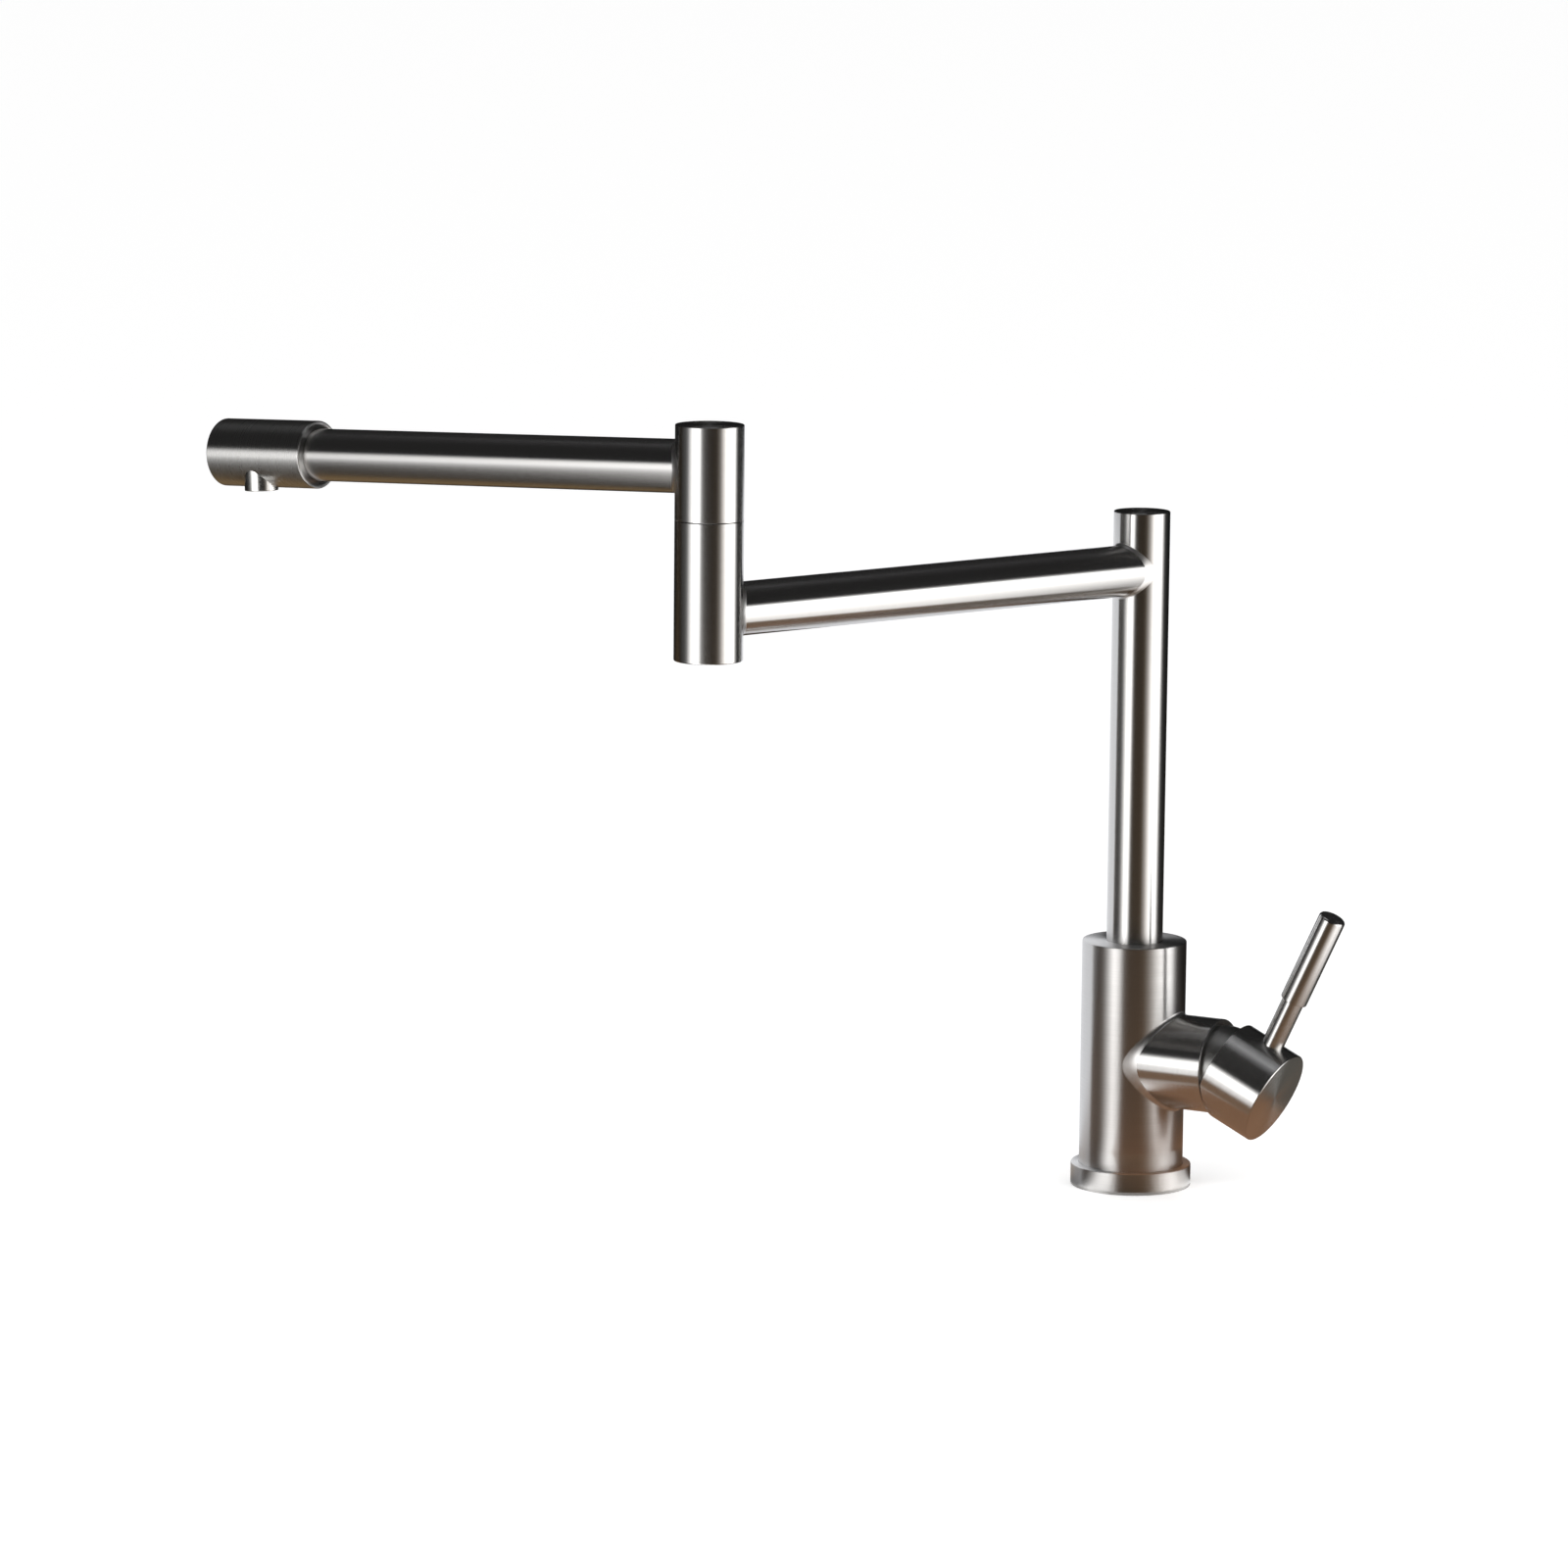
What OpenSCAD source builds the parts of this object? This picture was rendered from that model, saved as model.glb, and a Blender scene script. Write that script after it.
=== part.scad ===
// Deck-mounted kitchen faucet with a side lever and a spout folded from two swinging arms.
// Origin at the centre of the flange's underside, +Z up, +X towards the lever, in millimetres.

/* [Base and body] */
// Diameter of the flange on the deck
flange_d = 60; // [58:0.5:66]
// Height of the flange
flange_h = 11; // [9:0.5:14]
// Outer diameter of the body tube
body_d = 52; // [51:0.5:55]
// Wall of the body tube
body_wall = 2; // [1.5:0.1:2.4]
// Height of the body's top above the deck
body_h = 124; // [122:1:150]
// Thickness of the body's top cap outside the tube
body_cap_t = 4; // [3:0.5:6]

/* [Riser and lower arm] */
// Outer diameter of the riser tube
riser_d = 28; // [27:0.5:31]
// Height of the riser's top above the deck
riser_h = 339; // [300:1:420]
// Outer diameter of both arm tubes
arm_d = 25.4; // [22:0.1:26]
// Wall of the riser and arm tubes
tube_wall = 1.5; // [1:0.1:2]
// Depth of the lower arm's axis below the riser's top
arm1_depth = 29; // [24:1:60]
// Distance from the riser's axis to the elbow's axis
arm1_len = 274; // [200:1:320]
// Direction of the lower arm, turned about the riser from the lever side
arm1_heading = 249.5; // [180:0.5:300]

/* [Elbow] */
// Outer diameter of the elbow sleeves
elbow_d = 32.5; // [31:0.5:36]
// Wall of the elbow sleeves
elbow_wall = 2; // [1.5:0.1:2.4]
// Height of the lower sleeve, from its bottom to the seam
elbow_lower_h = 66; // [62:1:80]
// Height of the upper sleeve, from the seam to its top
elbow_upper_h = 45; // [43:1:60]
// Height of the lower arm's axis above the elbow's bottom
arm1_seat = 23; // [20:1:25]
// Height of the upper arm's axis above the seam
arm2_seat = 25; // [24:0.5:26]
// Diameter of the elbow's journal
journal_d = 20; // [18:0.5:21]

/* [Upper arm and outlet] */
// Direction of the upper arm, turned about the elbow from the lever side
arm2_heading = 176; // [90:0.5:240]
// Fall of the upper arm towards the outlet, in degrees
arm2_fall = 2.5; // [0:0.5:3]
// Distance along the upper arm from the elbow's axis to the outlet's axis
outlet_reach = 262; // [200:1:320]
// Outer diameter of the outlet head
head_d = 33; // [31:0.5:36]
// Length of the outlet head
head_len = 57; // [50:1:70]
// Length of the head beyond the outlet's axis
nose_len = 26; // [18:1:26]
// Diameter of the aerator sleeve
aerator_d = 16.5; // [15:0.5:18.5]
// Length of aerator sleeve that shows below the head
aerator_stand = 1; // [1:0.5:5]
// Distance of the aerator's axis in front of the head's axis
aerator_side = 6.5; // [0:0.5:7]

/* [Side housing and cartridge] */
// Height of the housing's axis above the deck
valve_h = 65; // [58:1:66]
// Outer diameter of the side housing
housing_d = 47; // [46:0.5:48]
// Wall of the side housing
housing_wall = 3; // [2.5:0.1:3.4]
// Distance from the body's axis to the housing's face
housing_reach = 48.5; // [46:0.5:56]
// Diameter of the mixing cartridge
cartridge_d = 35; // [34:0.5:36]
// Distance of the lever's pivot beyond the housing's face
pivot_stand = 3; // [2.5:0.1:3.5]

/* [Lever] */
// Diameter of the lever hub
hub_d = 48.5; // [47:0.5:52]
// Length of the lever hub from the pivot to its end face
hub_len = 30.5; // [30:0.5:36]
// Tilt of the lever from closed to fully open, in degrees
lever_open = 25; // [18:1:26]
// Distance of the rod's axis from the pivot
rod_at = 17.5; // [15:0.5:20]
// Diameter of the lever rod
rod_d = 11; // [8:0.5:12]
// Length of rod that shows between hub and grip
rod_len = 25.25; // [15:0.25:40]
// Diameter of the grip
grip_d = 13.5; // [12.5:0.5:18]
// Length of the grip
grip_len = 48; // [35:1:80]

/* [Fixing] */
// Thickness of the deck that the fixing kit clamps
deck_t = 20; // [5:1:30]
// Diameter of the fixing stud
stud_d = 8; // [6:1:8]
// Length of stud below the deck's top
stud_reach = 62; // [50:1:80]
// Diameter of the threaded inlets, at the tip of the thread
inlet_d = 9; // [8:0.5:10]

/* [Hidden] */
$fn = 96;

// Radial clearance of parts that are fixed in each other
fixed_gap = 0.05;
// Radial clearance of parts that turn in each other
turn_gap = 0.08;
// Clearance of loose parts that pass each other
pass_gap = 0.2;
// Amount by which a cutting shape runs past the solid it cuts
over = 1;
// Width of broken edges on turned steel parts
edge = 0.6;

// Steel colours and the colours of the inner parts
steel = [0.72, 0.70, 0.68];
dark_steel = [0.45, 0.44, 0.43];
brass = [0.78, 0.62, 0.32];
rubber = [0.12, 0.12, 0.12];
white_pom = [0.90, 0.90, 0.88];
grey_pom = [0.35, 0.36, 0.38];
ceramic = [0.95, 0.93, 0.88];

// Bores of the housing and the body
housing_id = housing_d - 2 * housing_wall;
body_id = body_d - 2 * body_wall;
core_r = body_id / 2 - 2 * fixed_gap;

// Flange and gasket
flange_lip_h = 3;
gasket_inset = 0.7;
gasket_edge = 1.1;
gasket_w = (flange_d - body_d) / 2 - gasket_inset - gasket_edge;
gasket_h = 1.9;
gasket_in_r = body_d / 2 + gasket_inset;

// Levels inside the body
manifold_web = 4.5;
socket_depth = 18;
slip_ring_t = 1;
manifold_z0 = valve_h - housing_id / 2 - manifold_web;
socket_z0 = valve_h + housing_id / 2 + manifold_web;
manifold_z1 = socket_z0 + socket_depth;
riser_z0 = manifold_z1 + slip_ring_t;

// Water ways
inlet_x = -5;
inlet_y = 8.5;
hose_gap = 2.5;
hose_hole_d = inlet_d + 2 * hose_gap;
inlet_thread_len = 12;
port_d = 6.4;
inlet_port_z = -4;
outlet_port_z = 6;
outlet_port_d = 8;
outlet_way_d = 10;
port_wall = 3;

// Fixing plate, stud and clamp kit
plate_h = 14;
stud_x = 14;
stud_cover = 2;
stud_thread_in = plate_h - stud_cover;
horseshoe_margin = 1;
horseshoe_r = body_d / 2 + horseshoe_margin;
horseshoe_slack = 1.5;
horseshoe_gap = 2 * (inlet_y + hose_hole_d / 2 + horseshoe_slack);
horseshoe_end_x = inlet_x + hose_hole_d / 2 + horseshoe_margin;
rubber_t = 3;
clamp_t = 2;
nut_flats = 1.625 * stud_d;
nut_h = stud_d;
rubber_z0 = -deck_t - rubber_t;
clamp_z0 = rubber_z0 - clamp_t;
nut_z0 = clamp_z0 - nut_h;

// Riser with its cap, spigot and seals
riser_id = riser_d - 2 * tube_wall;
end_cap_t = 2;
cap_plug_t = 6;
spigot_step = 1.5;
spigot_journal_d = riser_id - 2 * spigot_step;
spigot_plug_h = 16;
spigot_foot_gap = 1;
water_bore_d = 12;
seal_cord = 1.5;
seal_groove_w = 2.2;
spigot_seals = [5, 12];
groove_w = 3.4;
groove_depth = 0.8;
screw_d = 5;
screw_rise = 6;
screw_key_depth = 3;
dog_d = 3;
dog_len = 3;
screw_z = manifold_z1 + screw_rise;

// Lower arm and elbow
arm_id = arm_d - 2 * tube_wall;
arm1_z = riser_h - arm1_depth;
elbow_pos = [arm1_len * cos(arm1_heading), arm1_len * sin(arm1_heading), 0];
elbow_id = elbow_d - 2 * elbow_wall;
elbow_z0 = arm1_z - arm1_seat;
seam_z = elbow_z0 + elbow_lower_h;
elbow_z1 = seam_z + elbow_upper_h;
arm2_z = seam_z + arm2_seat;
elbow_plug_t = 4;
seam_gap = 0.3;
washer_t = 0.8;
socket_len = 28;
journal_flange_h = 9.5;
circlip_t = 1.2;
circlip_gap = 0.2;
circlip_depth = 1;
circlip_rim = 2;
circlip_mouth = 6;
journal_tail = 5;
elbow_seals = [8, 17];
weld_leg = 1.5;
weld_gap = 0.03;
weld_rings = 96;
weld_seat_steps = 4;
weld_toe = 0.1;
riser_weld = min(weld_leg, (riser_d - arm_d) / 2 - weld_toe);
elbow_weld = min(weld_leg, (elbow_d - arm_d) / 2 - weld_toe);
housing_weld_leg = min(weld_leg, (body_d - housing_d) / 2 - weld_toe);

// Outlet head, in the upper arm's own frame with X along the arm
head_x1 = outlet_reach + nose_len;
head_x0 = head_x1 - head_len;
head_wall = 4.5;
head_end_t = 6;
arm_socket_len = 14;
aerator_cover = 1.5;
aerator_top = aerator_cover - sqrt(pow(head_d / 2, 2) - pow(aerator_side + aerator_d / 2, 2));
aerator_h = head_d / 2 + aerator_stand + aerator_top;
aerator_wall = 1.2;
aerator_lip = 1;
aerator_lip_h = 0.8;
aerator_seal_w = 1.8;
aerator_seal_h = 1.6;
insert_h = 5;
insert_hole_d = 1.6;

// Cartridge and its stack along the housing's axis
pivot_x = housing_reach + pivot_stand;
shell_neck_top = 4.5;
shell_neck_foot = 5.5;
shell_lid_t = 1;
rotor_foot = 11.5;
rotor_low = 0.5;
carrier_t = 6.8;
moving_t = 3;
fixed_t = 3.2;
cart_base_t = 3;
nut_grip = 8;
nut_low = 1;
nut_ledge = 0.3;
cup_low = 1;
shell_top_x = pivot_x + shell_neck_top;
shell_shoulder_x = pivot_x - shell_neck_foot;
cavity_top_x = shell_shoulder_x - shell_lid_t;
rotor_x0 = pivot_x - rotor_foot;
carrier_x0 = rotor_x0 - carrier_t;
moving_x0 = carrier_x0 - moving_t;
fixed_x0 = moving_x0 - fixed_t;
seat_floor_x = fixed_x0 - cart_base_t;
seat_back_x = outlet_way_d / 2 + port_wall;
nut_x0 = shell_shoulder_x - nut_grip;
nut_x1 = pivot_x - nut_low;
nut_neck_x = shell_shoulder_x + nut_ledge;
cup_x1 = nut_x0 - cup_low;
seat_r = housing_id / 2 - 2 * fixed_gap;
shell_neck_step = 2.5;
shell_neck_wall = 3;
shell_wall = 2;
disc_step = 4;
shell_neck_r = cartridge_d / 2 - shell_neck_step;
rotor_neck_r = shell_neck_r - shell_neck_wall;
cavity_r = cartridge_d / 2 - shell_wall;
disc_r = cavity_r - disc_step;
disc_pocket_wall = 3.5;
disc_pocket_t = 1.5;
seal_ring_gap = 0.4;
seal_ring_w = 1.3;
seal_ring_t = 1.2;
carrier_floor = 0.7;
nut_slot_w = 4;
nut_slot_h = 2;

// Stem, in the lever's own frame with X along the stem and Z along the rod
stem_w = 7.8;
stem_block = 8;
stem_block_back = 4;
stem_block_front = 2;
stem_arm_d = 4;
ball_d = 6.4;
ball_at = 14.3;
pin_d = 3;
pin_low = 1;
disc_travel = ball_at * sin(lever_open);

// Dome ring and lever hub
skirt_r = housing_id / 2 - 2 * fixed_gap;
dome_r = sqrt(pow(skirt_r, 2) + pow(pivot_stand, 2));
dome_wall = 1.2;
skirt_wall = 1.35;
dome_skirt_x = nut_neck_x + pass_gap;
skirt_in_r = skirt_r - skirt_wall;
nut_neck_r = skirt_in_r - fixed_gap;
dome_gap = 0.5;
pocket_r = dome_r + dome_gap;
mouth_margin = 23;
dome_mouth_r = dome_r * sin(lever_open + mouth_margin);
hub_back = 0.25;
hub_gap = 0.5;
hub_join = 0.3;
relief_x = housing_reach + hub_gap;
hub_front_x = (relief_x - pivot_x + hub_d / 2 * sin(lever_open)) / cos(lever_open) + hub_join;
hub_edge = 0.7;
skirt_overlap = 2;
boss_d = 14;
boss_at = 9;
stem_cover = 2.5;
stem_end = hub_len - stem_cover;
hub_screw_cover = 5.5;
hub_screw_at = hub_len - hub_screw_cover;
hub_screw_len = 8;
plug_d = 7;
plug_t = 2.5;
rod_seat_low = 0.1;
rod_seat_r = sqrt(pow(hub_d / 2, 2) - pow(rod_d / 2, 2)) - rod_seat_low;
tang_d = 6;
tang_cover = 1.5;
tang_floor_r = sqrt(pow(pocket_r, 2) - pow(rod_at - tang_d / 2, 2)) + tang_cover;
grip_z0 = hub_d / 2 + rod_len;
grip_z1 = grip_z0 + grip_len;
grip_top_t = 12;
grip_round = 1.5;
rod_z1 = grip_z1 - grip_top_t;

// Places its children with their Z axis along the housing's axis
module on_branch() {
    translate([0, 0, valve_h]) rotate([0, 90, 0]) children();
}

// Places its children at the lever's pivot, X along the stem and Z along the rod
module in_lever() {
    translate([pivot_x, 0, valve_h]) rotate([0, lever_open, 0]) children();
}

// Turns a shape drawn along Z so that it lies along X
module along_x() {
    rotate([0, 90, 0]) children();
}

// Places its children at the riser with X along the lower arm
module on_arm1() {
    rotate([0, 0, arm1_heading]) translate([0, 0, arm1_z]) children();
}

// Places its children at the elbow with X along the falling upper arm
module on_arm2() {
    translate(elbow_pos + [0, 0, arm2_z]) rotate([0, 0, arm2_heading]) rotate([0, arm2_fall, 0]) children();
}

// Places its children at the elbow's axis, at the level of the deck
module at_elbow() {
    translate(elbow_pos) children();
}

// Tube along Z between two levels
module tube(outer_r, inner_r, z0, z1) {
    translate([0, 0, z0]) difference() {
        cylinder(r = outer_r, h = z1 - z0);
        translate([0, 0, -over]) cylinder(r = inner_r, h = z1 - z0 + 2 * over);
    }
}

// Ring of round cord around the Z axis
module cord_ring(mid_r, cord, z) {
    translate([0, 0, z]) rotate_extrude() translate([mid_r, 0]) circle(d = cord, $fn = 32);
}

// Turned disc with a smaller plug on its inner side, edges broken on the outer side
module end_cap(outer_r, plug_r, disc_t, plug_t) {
    rotate_extrude() polygon([
        [0, -plug_t], [plug_r, -plug_t], [plug_r, 0], [outer_r, 0],
        [outer_r, disc_t - edge], [outer_r - edge, disc_t], [0, disc_t]
    ]);
}

// Point where a line on a branch of radius r, at angle a, crosses a main tube of radius big_r.
// The branch starts on the main axis at the origin and falls by the angle fall.
function saddle_point(r, a, big_r, fall) =
    let (
        start_x = r * cos(a) * sin(fall),
        start_y = r * sin(a),
        start_z = r * cos(a) * cos(fall),
        reach = (sqrt(pow(big_r, 2) - pow(start_y, 2)) - start_x) / cos(fall)
    )
    [start_x + reach * cos(fall), start_y, start_z - reach * sin(fall)];

// Section of a concave fillet: the corner, an arc from the branch to the main tube, then back
// to the corner in short steps along the main tube
function fillet_section(r, big_r, leg, a, fall) = concat(
    [saddle_point(r, a, big_r, fall)],
    [for (turn = [0, 22.5, 45, 67.5, 90])
        saddle_point(r + leg * (1 - cos(turn)), a, big_r + leg * (1 - sin(turn)), fall)],
    [for (step = [weld_seat_steps - 1 : -1 : 1])
        saddle_point(r + leg * step / weld_seat_steps, a, big_r, fall)]
);

// Weld fillet around a branch tube on a main tube
module saddle_fillet(branch_d, main_d, leg, fall = 0) {
    rings = weld_rings;
    side = 5 + weld_seat_steps;
    points = [for (i = [0 : rings - 1])
        each fillet_section(branch_d / 2 + weld_gap, main_d / 2 + weld_gap, leg, 360 * i / rings, fall)];
    faces = [for (i = [0 : rings - 1]) for (j = [0 : side - 1])
        let (
            here = i * side,
            next = ((i + 1) % rings) * side,
            k = (j + 1) % side
        )
        each [[here + j, here + k, next + k], [here + j, next + k, next + j]]];
    polyhedron(points = points, faces = faces);
}

// Turned flange with a lip that the body tube stands on and a groove for the gasket
module base_flange() {
    color(steel) rotate_extrude() difference() {
        polygon([
            [body_id / 2, 0], [flange_d / 2, 0], [flange_d / 2, flange_h - edge],
            [flange_d / 2 - edge, flange_h], [body_d / 2 + fixed_gap, flange_h],
            [body_d / 2 + fixed_gap, flange_lip_h], [body_id / 2, flange_lip_h]
        ]);
        translate([gasket_in_r - fixed_gap, -over])
            square([gasket_w + 2 * fixed_gap, gasket_h + fixed_gap + over]);
    }
}

// Flat rubber ring in the flange's groove
module base_gasket() {
    color(rubber) tube(gasket_in_r + gasket_w, gasket_in_r, 0, gasket_h);
}

// Plate in the foot of the body: the stud screws into it and the hoses pass through it
module fixing_plate() {
    color(dark_steel) difference() {
        cylinder(r = core_r, h = plate_h);
        for (side = [-1, 1])
            translate([inlet_x, side * inlet_y, -over]) cylinder(d = hose_hole_d, h = plate_h + 2 * over);
        translate([stud_x, 0, -over]) cylinder(r = stud_d / 2 + fixed_gap, h = plate_h + 2 * over);
    }
}

// Body tube with the opening for the side housing and the hole for the riser's grub screw
module body_shell() {
    color(steel) difference() {
        tube(body_d / 2, body_id / 2, flange_lip_h, body_h - body_cap_t);
        on_branch() cylinder(d = housing_id, h = body_d);
        translate([0, 0, screw_z]) rotate([-90, 0, 0]) cylinder(r = screw_d / 2 + fixed_gap, h = body_d);
    }
}

// Top cap of the body, whose bore carries the riser
module body_cap() {
    bore_r = riser_d / 2 + turn_gap;
    color(steel) difference() {
        rotate_extrude() polygon([
            [bore_r, manifold_z1], [core_r, manifold_z1], [core_r, body_h - body_cap_t],
            [body_d / 2, body_h - body_cap_t], [body_d / 2, body_h - edge],
            [body_d / 2 - edge, body_h], [bore_r + edge / 2, body_h], [bore_r, body_h - edge / 2]
        ]);
        translate([0, 0, screw_z]) rotate([-90, 0, 0]) cylinder(r = screw_d / 2 + fixed_gap, h = body_d);
    }
}

// Housing tube, cut to the round of the body and open at its face
module side_housing() {
    color(steel) difference() {
        on_branch() rotate_extrude() polygon([
            [housing_id / 2, 0], [housing_d / 2, 0], [housing_d / 2, housing_reach - edge / 2],
            [housing_d / 2 - edge / 2, housing_reach], [housing_id / 2, housing_reach]
        ]);
        cylinder(d = body_d, h = 2 * valve_h);
    }
}

// Fillet where the housing is welded to the body
module housing_weld() {
    color(steel) translate([0, 0, valve_h]) saddle_fillet(housing_d, body_d, housing_weld_leg);
}

// Brass block in the body: hot and cold inlets below, cartridge seat at the side, spout socket on top
module manifold() {
    way_z = valve_h + inlet_port_z;
    color(brass) difference() {
        translate([0, 0, manifold_z0]) cylinder(r = core_r, h = manifold_z1 - manifold_z0);
        on_branch() translate([0, 0, seat_back_x]) cylinder(d = housing_id, h = body_d);
        translate([0, 0, socket_z0]) cylinder(r = spigot_journal_d / 2 + turn_gap, h = socket_depth + over);
        translate([0, 0, valve_h + outlet_port_z]) cylinder(d = outlet_way_d, h = socket_z0 - valve_h);
        translate([0, 0, valve_h + outlet_port_z]) along_x() cylinder(d = outlet_port_d, h = body_d / 2);
        for (side = [-1, 1]) translate([inlet_x, side * inlet_y, 0]) {
            translate([0, 0, manifold_z0 - over]) cylinder(d = inlet_d, h = inlet_thread_len + over);
            translate([0, 0, manifold_z0]) cylinder(d = port_d, h = way_z - manifold_z0);
            translate([0, 0, way_z]) along_x() cylinder(d = port_d, h = body_d / 2);
        }
    }
}

// The three water ports of the cartridge, cut along the housing's axis
module port_cuts(x0, x1) {
    for (side = [-1, 1])
        translate([x0 - over, side * inlet_y, valve_h + inlet_port_z])
            along_x() cylinder(d = port_d, h = x1 - x0 + 2 * over);
    translate([x0 - over, 0, valve_h + outlet_port_z])
        along_x() cylinder(d = outlet_port_d, h = x1 - x0 + 2 * over);
}

// Brass cup that the cartridge stands in
module cartridge_seat() {
    color(brass) difference() {
        on_branch() translate([0, 0, seat_back_x]) cylinder(r = seat_r, h = cup_x1 - seat_back_x);
        on_branch() translate([0, 0, seat_floor_x])
            cylinder(r = cartridge_d / 2 + 2 * fixed_gap, h = cup_x1 - seat_floor_x + over);
        port_cuts(seat_back_x, seat_floor_x);
    }
}

// One flat seal around a port
module port_seal(y, z, port, grow) {
    translate([seat_floor_x, y, valve_h + z]) along_x() difference() {
        cylinder(r = port / 2 + seal_ring_gap + seal_ring_w + grow, h = seal_ring_t + grow);
        translate([0, 0, -over]) cylinder(r = port / 2 + seal_ring_gap - grow, h = seal_ring_t + 2 * over);
    }
}

// The three port seals, larger by the amount grow where they cut their grooves
module port_seals(grow = 0) {
    for (side = [-1, 1]) port_seal(side * inlet_y, inlet_port_z, port_d, grow);
    port_seal(0, outlet_port_z, outlet_port_d, grow);
}

// Base of the cartridge, with grooves for the port seals
module cartridge_base() {
    color(grey_pom) difference() {
        on_branch() translate([0, 0, seat_floor_x]) cylinder(d = cartridge_d, h = cart_base_t);
        port_cuts(seat_floor_x, fixed_x0);
        port_seals(fixed_gap);
    }
}

// Rubber seals between the cartridge and its seat
module cartridge_seals() {
    color(rubber) port_seals();
}

// Ceramic disc that stands still
module fixed_disc() {
    color(ceramic) difference() {
        on_branch() translate([0, 0, fixed_x0]) cylinder(r = cavity_r - 2 * fixed_gap, h = fixed_t);
        port_cuts(fixed_x0, moving_x0);
    }
}

// Outer shell of the cartridge with its neck
module cartridge_shell() {
    color(grey_pom) on_branch() rotate_extrude() polygon([
        [cavity_r, fixed_x0], [cartridge_d / 2, fixed_x0], [cartridge_d / 2, shell_shoulder_x],
        [shell_neck_r, shell_shoulder_x], [shell_neck_r, shell_top_x],
        [rotor_neck_r + turn_gap, shell_top_x], [rotor_neck_r + turn_gap, cavity_top_x],
        [cavity_r, cavity_top_x]
    ]);
}

// Threaded ring that presses the cartridge into its seat, with four slots for the key
module retaining_nut() {
    thread_r = housing_id / 2 - fixed_gap;
    color(brass) difference() {
        on_branch() rotate_extrude() polygon([
            [cartridge_d / 2 + 2 * fixed_gap, nut_x0], [thread_r, nut_x0], [thread_r, nut_neck_x],
            [nut_neck_r, nut_neck_x], [nut_neck_r, nut_x1], [shell_neck_r + 2 * fixed_gap, nut_x1],
            [shell_neck_r + 2 * fixed_gap, shell_shoulder_x],
            [cartridge_d / 2 + 2 * fixed_gap, shell_shoulder_x]
        ]);
        for (turn = [0, 90])
            on_branch() rotate([0, 0, turn])
                translate([-housing_id / 2, -nut_slot_w / 2, nut_x1 - nut_slot_h])
                    cube([housing_id, nut_slot_w, nut_slot_h + over]);
    }
}

// Bright dome over the nut: its round is centred on the lever's pivot
module dome_ring() {
    inner_r = dome_r - dome_wall;
    color(steel) on_branch() difference() {
        union() {
            translate([0, 0, pivot_x]) sphere(r = dome_r);
            translate([0, 0, dome_skirt_x]) cylinder(r = skirt_r, h = pivot_x - dome_skirt_x);
        }
        translate([0, 0, pivot_x]) sphere(r = inner_r);
        translate([0, 0, pivot_x - 2 * dome_r]) cylinder(r = skirt_in_r, h = 2 * dome_r);
        translate([0, 0, pivot_x - 2 * dome_r])
            cylinder(r = 2 * dome_r, h = 2 * dome_r - (pivot_x - dome_skirt_x));
        translate([0, 0, pivot_x]) cylinder(r = dome_mouth_r, h = 2 * dome_r);
    }
}

// Grub screw in the back of the body, whose dog point runs in the riser's groove
module spout_grub_screw() {
    tip_r = riser_d / 2 - groove_depth + pass_gap;
    color(dark_steel) translate([0, 0, screw_z]) rotate([-90, 0, 0]) difference() {
        union() {
            translate([0, 0, tip_r]) cylinder(d = dog_d, h = dog_len);
            translate([0, 0, tip_r + dog_len - over / 2]) cylinder(d = screw_d, h = core_r - tip_r - dog_len);
        }
        translate([0, 0, core_r - screw_key_depth])
            cylinder(d = screw_d / 2, h = screw_key_depth + over, $fn = 6);
    }
}

// Threaded stud that holds the faucet down
module fixing_stud() {
    color(dark_steel) translate([stud_x, 0, 0]) rotate_extrude() polygon([
        [0, -stud_reach], [stud_d / 2 - edge, -stud_reach], [stud_d / 2, -stud_reach + edge],
        [stud_d / 2, stud_thread_in - edge], [stud_d / 2 - edge, stud_thread_in], [0, stud_thread_in]
    ]);
}

// Horseshoe outline, open on the side away from the lever so that it slips past the hoses
module horseshoe(thick) {
    linear_extrude(thick) difference() {
        circle(r = horseshoe_r);
        translate([-horseshoe_r - over, -horseshoe_gap / 2])
            square([horseshoe_r + over + horseshoe_end_x, horseshoe_gap]);
        translate([stud_x, 0]) circle(r = stud_d / 2 + pass_gap);
    }
}

// Rubber washer under the deck
module rubber_washer() {
    color(rubber) translate([0, 0, rubber_z0]) horseshoe(rubber_t);
}

// Steel plate under the rubber washer
module clamp_plate() {
    color(dark_steel) translate([0, 0, clamp_z0]) horseshoe(clamp_t);
}

// Hexagon nut on the stud
module clamp_nut() {
    color(brass) translate([stud_x, 0, nut_z0]) difference() {
        cylinder(d = nut_flats / cos(30), h = nut_h, $fn = 6);
        translate([0, 0, -over]) cylinder(r = stud_d / 2 + fixed_gap, h = nut_h + 2 * over);
    }
}

// Plastic ring that the riser turns on
module riser_slip_ring() {
    color(white_pom) tube(riser_d / 2 - fixed_gap, spigot_journal_d / 2 + turn_gap, manifold_z1, riser_z0);
}

// Riser tube with the groove for the grub screw and the opening for the lower arm
module riser_tube() {
    color(steel) difference() {
        tube(riser_d / 2, riser_id / 2, riser_z0, riser_h - end_cap_t);
        on_arm1() along_x() cylinder(d = arm_id, h = riser_d);
        tube(riser_d, riser_d / 2 - groove_depth, screw_z - groove_w / 2, screw_z + groove_w / 2);
    }
}

// Cap in the top of the riser
module riser_cap() {
    color(steel) translate([0, 0, riser_h - end_cap_t])
        end_cap(riser_d / 2, riser_id / 2 - fixed_gap, end_cap_t, cap_plug_t);
}

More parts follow.
